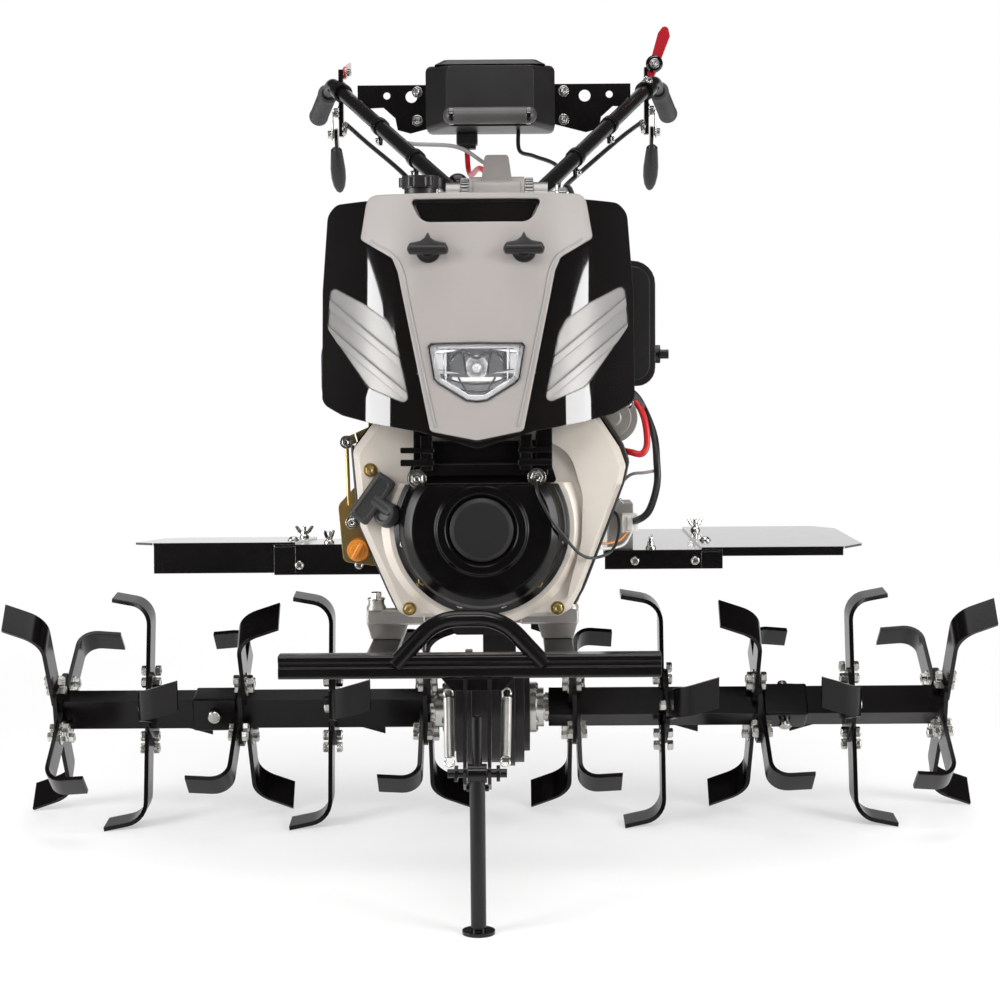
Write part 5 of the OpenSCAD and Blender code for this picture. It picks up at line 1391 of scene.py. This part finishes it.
@dataclass
class FrontStand(Assembly):
    """Springs of the folding stand."""

    stand_x: float = -23.0
    anchor: Point = (34.0, -506.0, 274.6)
    hook: Point = (32.0, -559.0, 192.0)
    coil_r: float = 0.0052
    wire_r: float = 0.0012
    pitch: float = 0.0027
    hook_long: float = 0.012
    eye_rise: float = 0.006
    bend_share: float = 0.28

    def spring(self, low: Vector, high: Vector) -> Obj:
        """Winds a tension spring with its end hooks from one point to another.

        Args:
            low: Eye on the stand.
            high: Eye on the bracket.

        Returns:
            The spring.
        """
        wound = (high - low).length - 2.0 * self.hook_long
        turns = int(wound / self.pitch)
        Bench.clear()
        bpy.ops.mesh.primitive_circle_add(vertices=8, radius=self.wire_r, location=(self.coil_r, 0, 0),
                                          rotation=(math.pi / 2, 0, 0))
        coil = bpy.context.object
        bpy.ops.object.transform_apply(location=True, rotation=True, scale=False)
        Bench.apply(coil, "SCREW", angle=2 * math.pi, screw_offset=wound / turns, iterations=turns, steps=14,
                    render_steps=14, use_merge_vertices=False, use_normal_calculate=True)
        Bench.moved(coil, Matrix.Translation((0, 0, self.hook_long)))
        ends = []
        for z, way in ((self.hook_long, -1.0), (self.hook_long + wound, 1.0)):
            eye = [Vector((self.coil_r, 0, z))]
            for a in (math.radians(d) for d in range(-30, 211, 30)):
                up = way * (self.eye_rise + self.coil_r * math.sin(a))
                eye.append(Vector((self.coil_r * math.cos(a), 0.0, z + up)))
            ends.append(Bench.tube(eye, self.wire_r))
        return Bench.moved(Bench.joined([coil, *ends]), Bench.frame_at(low, high - low))

    def build(self) -> None:
        """Hangs a spring on each side, between the bracket and the folding leg."""
        for name, side in (("left", -1.0), ("right", 1.0)):
            high, low = (self.datum.at(self.stand_x + side * x, y, z) for x, y, z in (self.anchor, self.hook))
            spring = self.keep(self.spring(low, high), f"stand_spring_{name}", ZINC, None)
            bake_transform(spring)
            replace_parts(spring, "stand_springs")


@dataclass
class Cables(Assembly):
    """Control cables and the battery lead between the handlebar and the engine."""

    blend_start: Point = (0.0, 60.0, 840.0)
    blend_end: Point = (0.0, 300.0, 950.0)
    clutch_way: tuple[Point, ...] = (
        (-264.3, 728.0, 1062.3), (-222.0, 600.0, 1019.4), (-150.0, 400.0, 949.0), (-96.0, 230.0, 881.6),
        (-84.0, 120.0, 819.9), (-92.0, 60.0, 697.9), (-112.0, 48.0, 567.9), (-132.0, 48.0, 457.9),
        (-126.0, 48.0, 425.9), (-102.3, 48.0, 421.9))
    throttle_way: tuple[Point, ...] = (
        (247.9, 728.0, 1062.3), (206.0, 600.0, 1023.4), (138.0, 400.0, 955.0), (104.0, 240.0, 915.4),
        (108.0, 130.0, 899.9), (124.0, 20.0, 829.9), (150.0, -50.0, 750.8), (150.0, -66.0, 614.8),
        (134.0, -96.0, 494.8), (128.0, -120.0, 458.8), (104.4, -122.0, 456.8))
    battery_way: tuple[Point, ...] = (
        (-53.0, 620.0, 1035.1), (-53.0, 620.0, 1001.9), (-47.0, 574.0, 961.9), (-20.0, 380.0, 949.9),
        (40.0, 200.0, 829.9), (56.0, 60.0, 747.9), (70.0, -40.0, 677.9), (96.0, -84.0, 588.8),
        (138.0, -132.0, 582.8), (138.0, -161.4, 582.8))
    switch_way: tuple[Point, ...] = (
        (-184.0, 520.0, 1026.0), (-150.0, 552.0, 1013.0), (-70.0, 566.0, 1008.0), (-22.0, 540.0, 978.0),
        (-4.0, 400.0, 962.0), (50.0, 210.0, 838.0), (67.0, 66.0, 752.0), (81.0, -36.0, 680.0),
        (104.0, -76.0, 600.0), (104.2, -92.0, 540.0))
    meter_way: tuple[Point, ...] = (
        (34.0, 590.0, 1035.5), (36.0, 560.0, 1000.0), (60.0, 500.0, 985.0), (96.0, 400.0, 958.0),
        (92.0, 240.0, 902.0), (98.0, 128.0, 886.0), (114.0, 20.0, 818.0), (140.0, -46.0, 740.0),
        (141.0, -62.0, 615.0), (126.0, -90.0, 505.0), (104.4, -104.0, 480.0))

    def build(self) -> None:
        """Runs the cables."""
        start, end = self.datum.at(*self.blend_start), self.datum.at(*self.blend_end)
        for name, way, radius, finish, node in (
                ("clutch_cable", self.clutch_way, 0.0040, CABLE_BLACK, "control_cables"),
                ("throttle_cable", self.throttle_way, 0.0040, CABLE_BLACK, "control_cables"),
                ("switch_lead", self.switch_way, 0.0034, CABLE_GREY, "control_cables"),
                ("meter_lead", self.meter_way, 0.0034, CABLE_BLACK, "control_cables"),
                ("battery_lead", self.battery_way, 0.0045, CABLE_RED, "battery_cable")):
            cable = self.keep(Bench.tube(self.datum.path(*way), radius), name, finish, None, WIRE_SMOOTH)
            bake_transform(cable)
            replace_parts(cable, node)


@dataclass
class Studio:
    """Pale floor, soft lamps, white surroundings and the camera of the photograph."""

    datum: Datum
    eye: Point = (17.95, -2835.4, 671.55)
    yaw: float = 0.323
    pitch: float = 4.328
    roll: float = 0.419
    lens: float = 72.35
    floor_radius: float = 60.0
    card_strength: float = 9.5

    def camera(self) -> None:
        """Stands the camera where the photograph was taken from."""
        yaw, pitch, roll = (math.radians(a) for a in (self.yaw, self.pitch, self.roll))
        ahead = Vector((-math.sin(yaw) * math.cos(pitch), math.cos(yaw) * math.cos(pitch), -math.sin(pitch)))
        right = ahead.cross(Vector((0, 0, 1))).normalized()
        up = right.cross(ahead)
        tipped = right * math.cos(roll) - up * math.sin(roll)
        top = up * math.cos(roll) + right * math.sin(roll)
        data = bpy.data.cameras.new("camera")
        data.lens = self.lens
        data.sensor_width = 36.0
        data.clip_end = 200.0
        camera = bpy.data.objects.new("camera", data)
        bpy.context.scene.collection.objects.link(camera)
        turn = Matrix((tipped, top, -ahead)).transposed().to_4x4()
        camera.matrix_world = Matrix.Translation(self.datum.at(*self.eye)) @ turn
        bpy.context.scene.camera = camera

    def floor(self) -> None:
        """Lays a round pale floor that fades to white away from the object."""
        Bench.clear()
        bpy.ops.mesh.primitive_circle_add(vertices=96, radius=self.floor_radius, fill_type="NGON")
        floor = bpy.context.object
        floor.name = "floor"
        material = bpy.data.materials.new("floor_white")
        material.use_nodes = True
        graph = Graph(material.node_tree)
        shader = graph.find("BSDF_PRINCIPLED")
        shader.inputs["Base Color"].default_value = (0.86, 0.86, 0.855, 1.0)
        shader.inputs["Roughness"].default_value = 0.7
        coords = graph.add("ShaderNodeTexCoord").outputs["Object"]
        far = graph.add("ShaderNodeVectorMath", operation="LENGTH")
        graph.link(coords, far.inputs[0])
        fade = graph.ramp(far.outputs["Value"], 0.7, 1.9, 0.45)
        paths = graph.add("ShaderNodeLightPath").outputs
        apart = graph.add("ShaderNodeSeparateXYZ")
        graph.link(coords, apart.inputs[0])
        shiny, depth = paths["Is Glossy Ray"], apart.outputs["Y"]
        rear = graph.pair("MULTIPLY", shiny, graph.ramp(depth, 0.2, 1.2))
        seen = graph.pair("MAXIMUM", paths["Is Camera Ray"], rear)
        white = graph.light("ShaderNodeEmission", 1.0)
        bright = graph.shade(graph.pair("MULTIPLY", fade, seen), shader.outputs["BSDF"], white)
        dim = graph.add("ShaderNodeBsdfDiffuse")
        dim.inputs["Color"].default_value = (0.03, 0.03, 0.03, 1.0)
        front = graph.pair("MULTIPLY", shiny, graph.ramp(depth, -0.9, -1.7))
        whole = graph.shade(front, bright, dim.outputs["BSDF"])
        graph.link(whole, graph.find("OUTPUT_MATERIAL").inputs["Surface"])
        floor.data.materials.append(material)

    def surroundings(self) -> None:
        """Makes the world white to the camera, a soft light, and to mirrors white behind, dim in front."""
        world = bpy.data.worlds.new("studio")
        bpy.context.scene.world = world
        world.use_nodes = True
        graph = Graph(world.node_tree)
        soft = graph.find("BACKGROUND")
        soft.inputs["Color"].default_value = (1.0, 0.985, 0.97, 1.0)
        soft.inputs["Strength"].default_value = 0.30
        apart = graph.add("ShaderNodeSeparateXYZ")
        graph.link(graph.add("ShaderNodeTexCoord").outputs["Generated"], apart.inputs[0])
        mirrored = graph.light("ShaderNodeBackground", 1.0)
        graph.link(graph.ramp(apart.outputs["Y"], 0.80, 0.96, 0.05), mirrored.node.inputs["Strength"])
        white = graph.light("ShaderNodeBackground", 1.0)
        paths = graph.add("ShaderNodeLightPath").outputs
        shiny = graph.pair("MAXIMUM", paths["Is Glossy Ray"], paths["Is Transmission Ray"])
        unseen = graph.shade(shiny, soft.outputs["Background"], mirrored)
        whole = graph.shade(paths["Is Camera Ray"], unseen, white)
        graph.link(whole, graph.find("OUTPUT_WORLD").inputs["Surface"])

    def lamp(self, name: str, place: Point, aim: Point, size: tuple[float, float], power: float,
             mirrored: bool = True) -> None:
        """Hangs a soft box.

        Args:
            name: The lamp's name.
            place: Its place in metres.
            aim: The point it faces.
            size: Its width and height.
            power: Its power in watts.
            mirrored: Whether shiny surfaces show it.
        """
        data = bpy.data.lights.new(name, "AREA")
        data.shape = "RECTANGLE"
        data.size, data.size_y = size
        data.energy = power
        lamp = bpy.data.objects.new(name, data)
        bpy.context.scene.collection.objects.link(lamp)
        lamp.matrix_world = Bench.frame_at(Vector(place), Vector(place) - Vector(aim))
        lamp.visible_glossy = mirrored

    def card(self, name: str, place: Point, aim: Point, size: tuple[float, float], strength: float) -> None:
        """Stands a white card that shows only in shiny surfaces.

        Args:
            name: The card's name.
            place: Its place in metres.
            aim: The point it faces.
            size: Its width and height.
            strength: Its brightness.
        """
        Bench.clear()
        bpy.ops.mesh.primitive_plane_add(size=1.0)
        card = bpy.context.object
        card.name = name
        card.data.transform(Bench.frame_at(Vector(place), Vector(aim) - Vector(place))
                            @ Matrix.Diagonal((size[0], size[1], 1.0, 1.0)))
        material = bpy.data.materials.new(name)
        material.use_nodes = True
        graph = Graph(material.node_tree)
        glow = graph.light("ShaderNodeEmission", strength)
        graph.link(glow, graph.find("OUTPUT_MATERIAL").inputs["Surface"])
        card.data.materials.append(material)
        card.visible_camera = False
        card.visible_diffuse = False
        card.visible_shadow = False

    def build(self) -> None:
        """Sets up the camera, the floor, the surroundings, the lamps and the cards."""
        bpy.context.scene.view_settings.view_transform = "Standard"
        self.camera()
        self.floor()
        self.surroundings()
        hands = (("left", -1.0), ("right", 1.0))
        for name, side in hands:
            self.lamp(f"key_{name}", (side * 2.2, -2.2, 1.6), (0.0, -0.3, 0.6), (1.2, 1.4), 62.0, False)
        self.lamp("top", (0.0, -0.2, 3.2), (0.0, 0.0, 0.4), (2.6, 2.6), 60.0)
        self.lamp("front_top", (0.0, -2.9, 2.9), (0.0, -0.3, 0.6), (1.8, 0.7), 30.0)
        self.lamp("back", (0.4, 3.0, 2.4), (0.0, 0.0, 0.6), (2.4, 1.6), 45.0, False)
        for name, side in hands:
            self.card(f"card_{name}", (side * 2.05, -1.25, 0.68), (0.0, -0.5, 0.68), (1.1, 1.3),
                      self.card_strength)


def dress_nodes(nodes: dict[str, Obj]) -> None:
    """Paints the CAD nodes with their finishes.

    Args:
        nodes: The CAD objects by name.
    """
    for name, obj in nodes.items():
        material = NODE_FINISH[name].make()
        if not obj.material_slots:
            obj.data.materials.append(material)
        for place in obj.material_slots:
            place.material = material
        LOG.info("%s: %s", name, material.name)


def main() -> None:
    """Loads the frame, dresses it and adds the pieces."""
    logging.basicConfig(level=logging.INFO, format="%(name)s %(message)s")
    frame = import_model()
    joints = {joint["name"]: joint for joint in frame["record"]["behaviour"]["joints"]}
    datum = Datum(joints["left_rotor_spin"]["pos_m"][1])
    Studio(datum).build()
    dress_nodes(frame["nodes"])
    bpy.context.view_layer.update()
    for assembly in (Refined(datum, nodes=frame["nodes"]), Cables(datum), Rotors(datum), Hood(datum),
                     EngineFront(datum), EngineSides(datum), Fenders(datum), Handlebar(datum),
                     FrontStand(datum)):
        assembly.build()


if __name__ == "__main__":
    main()
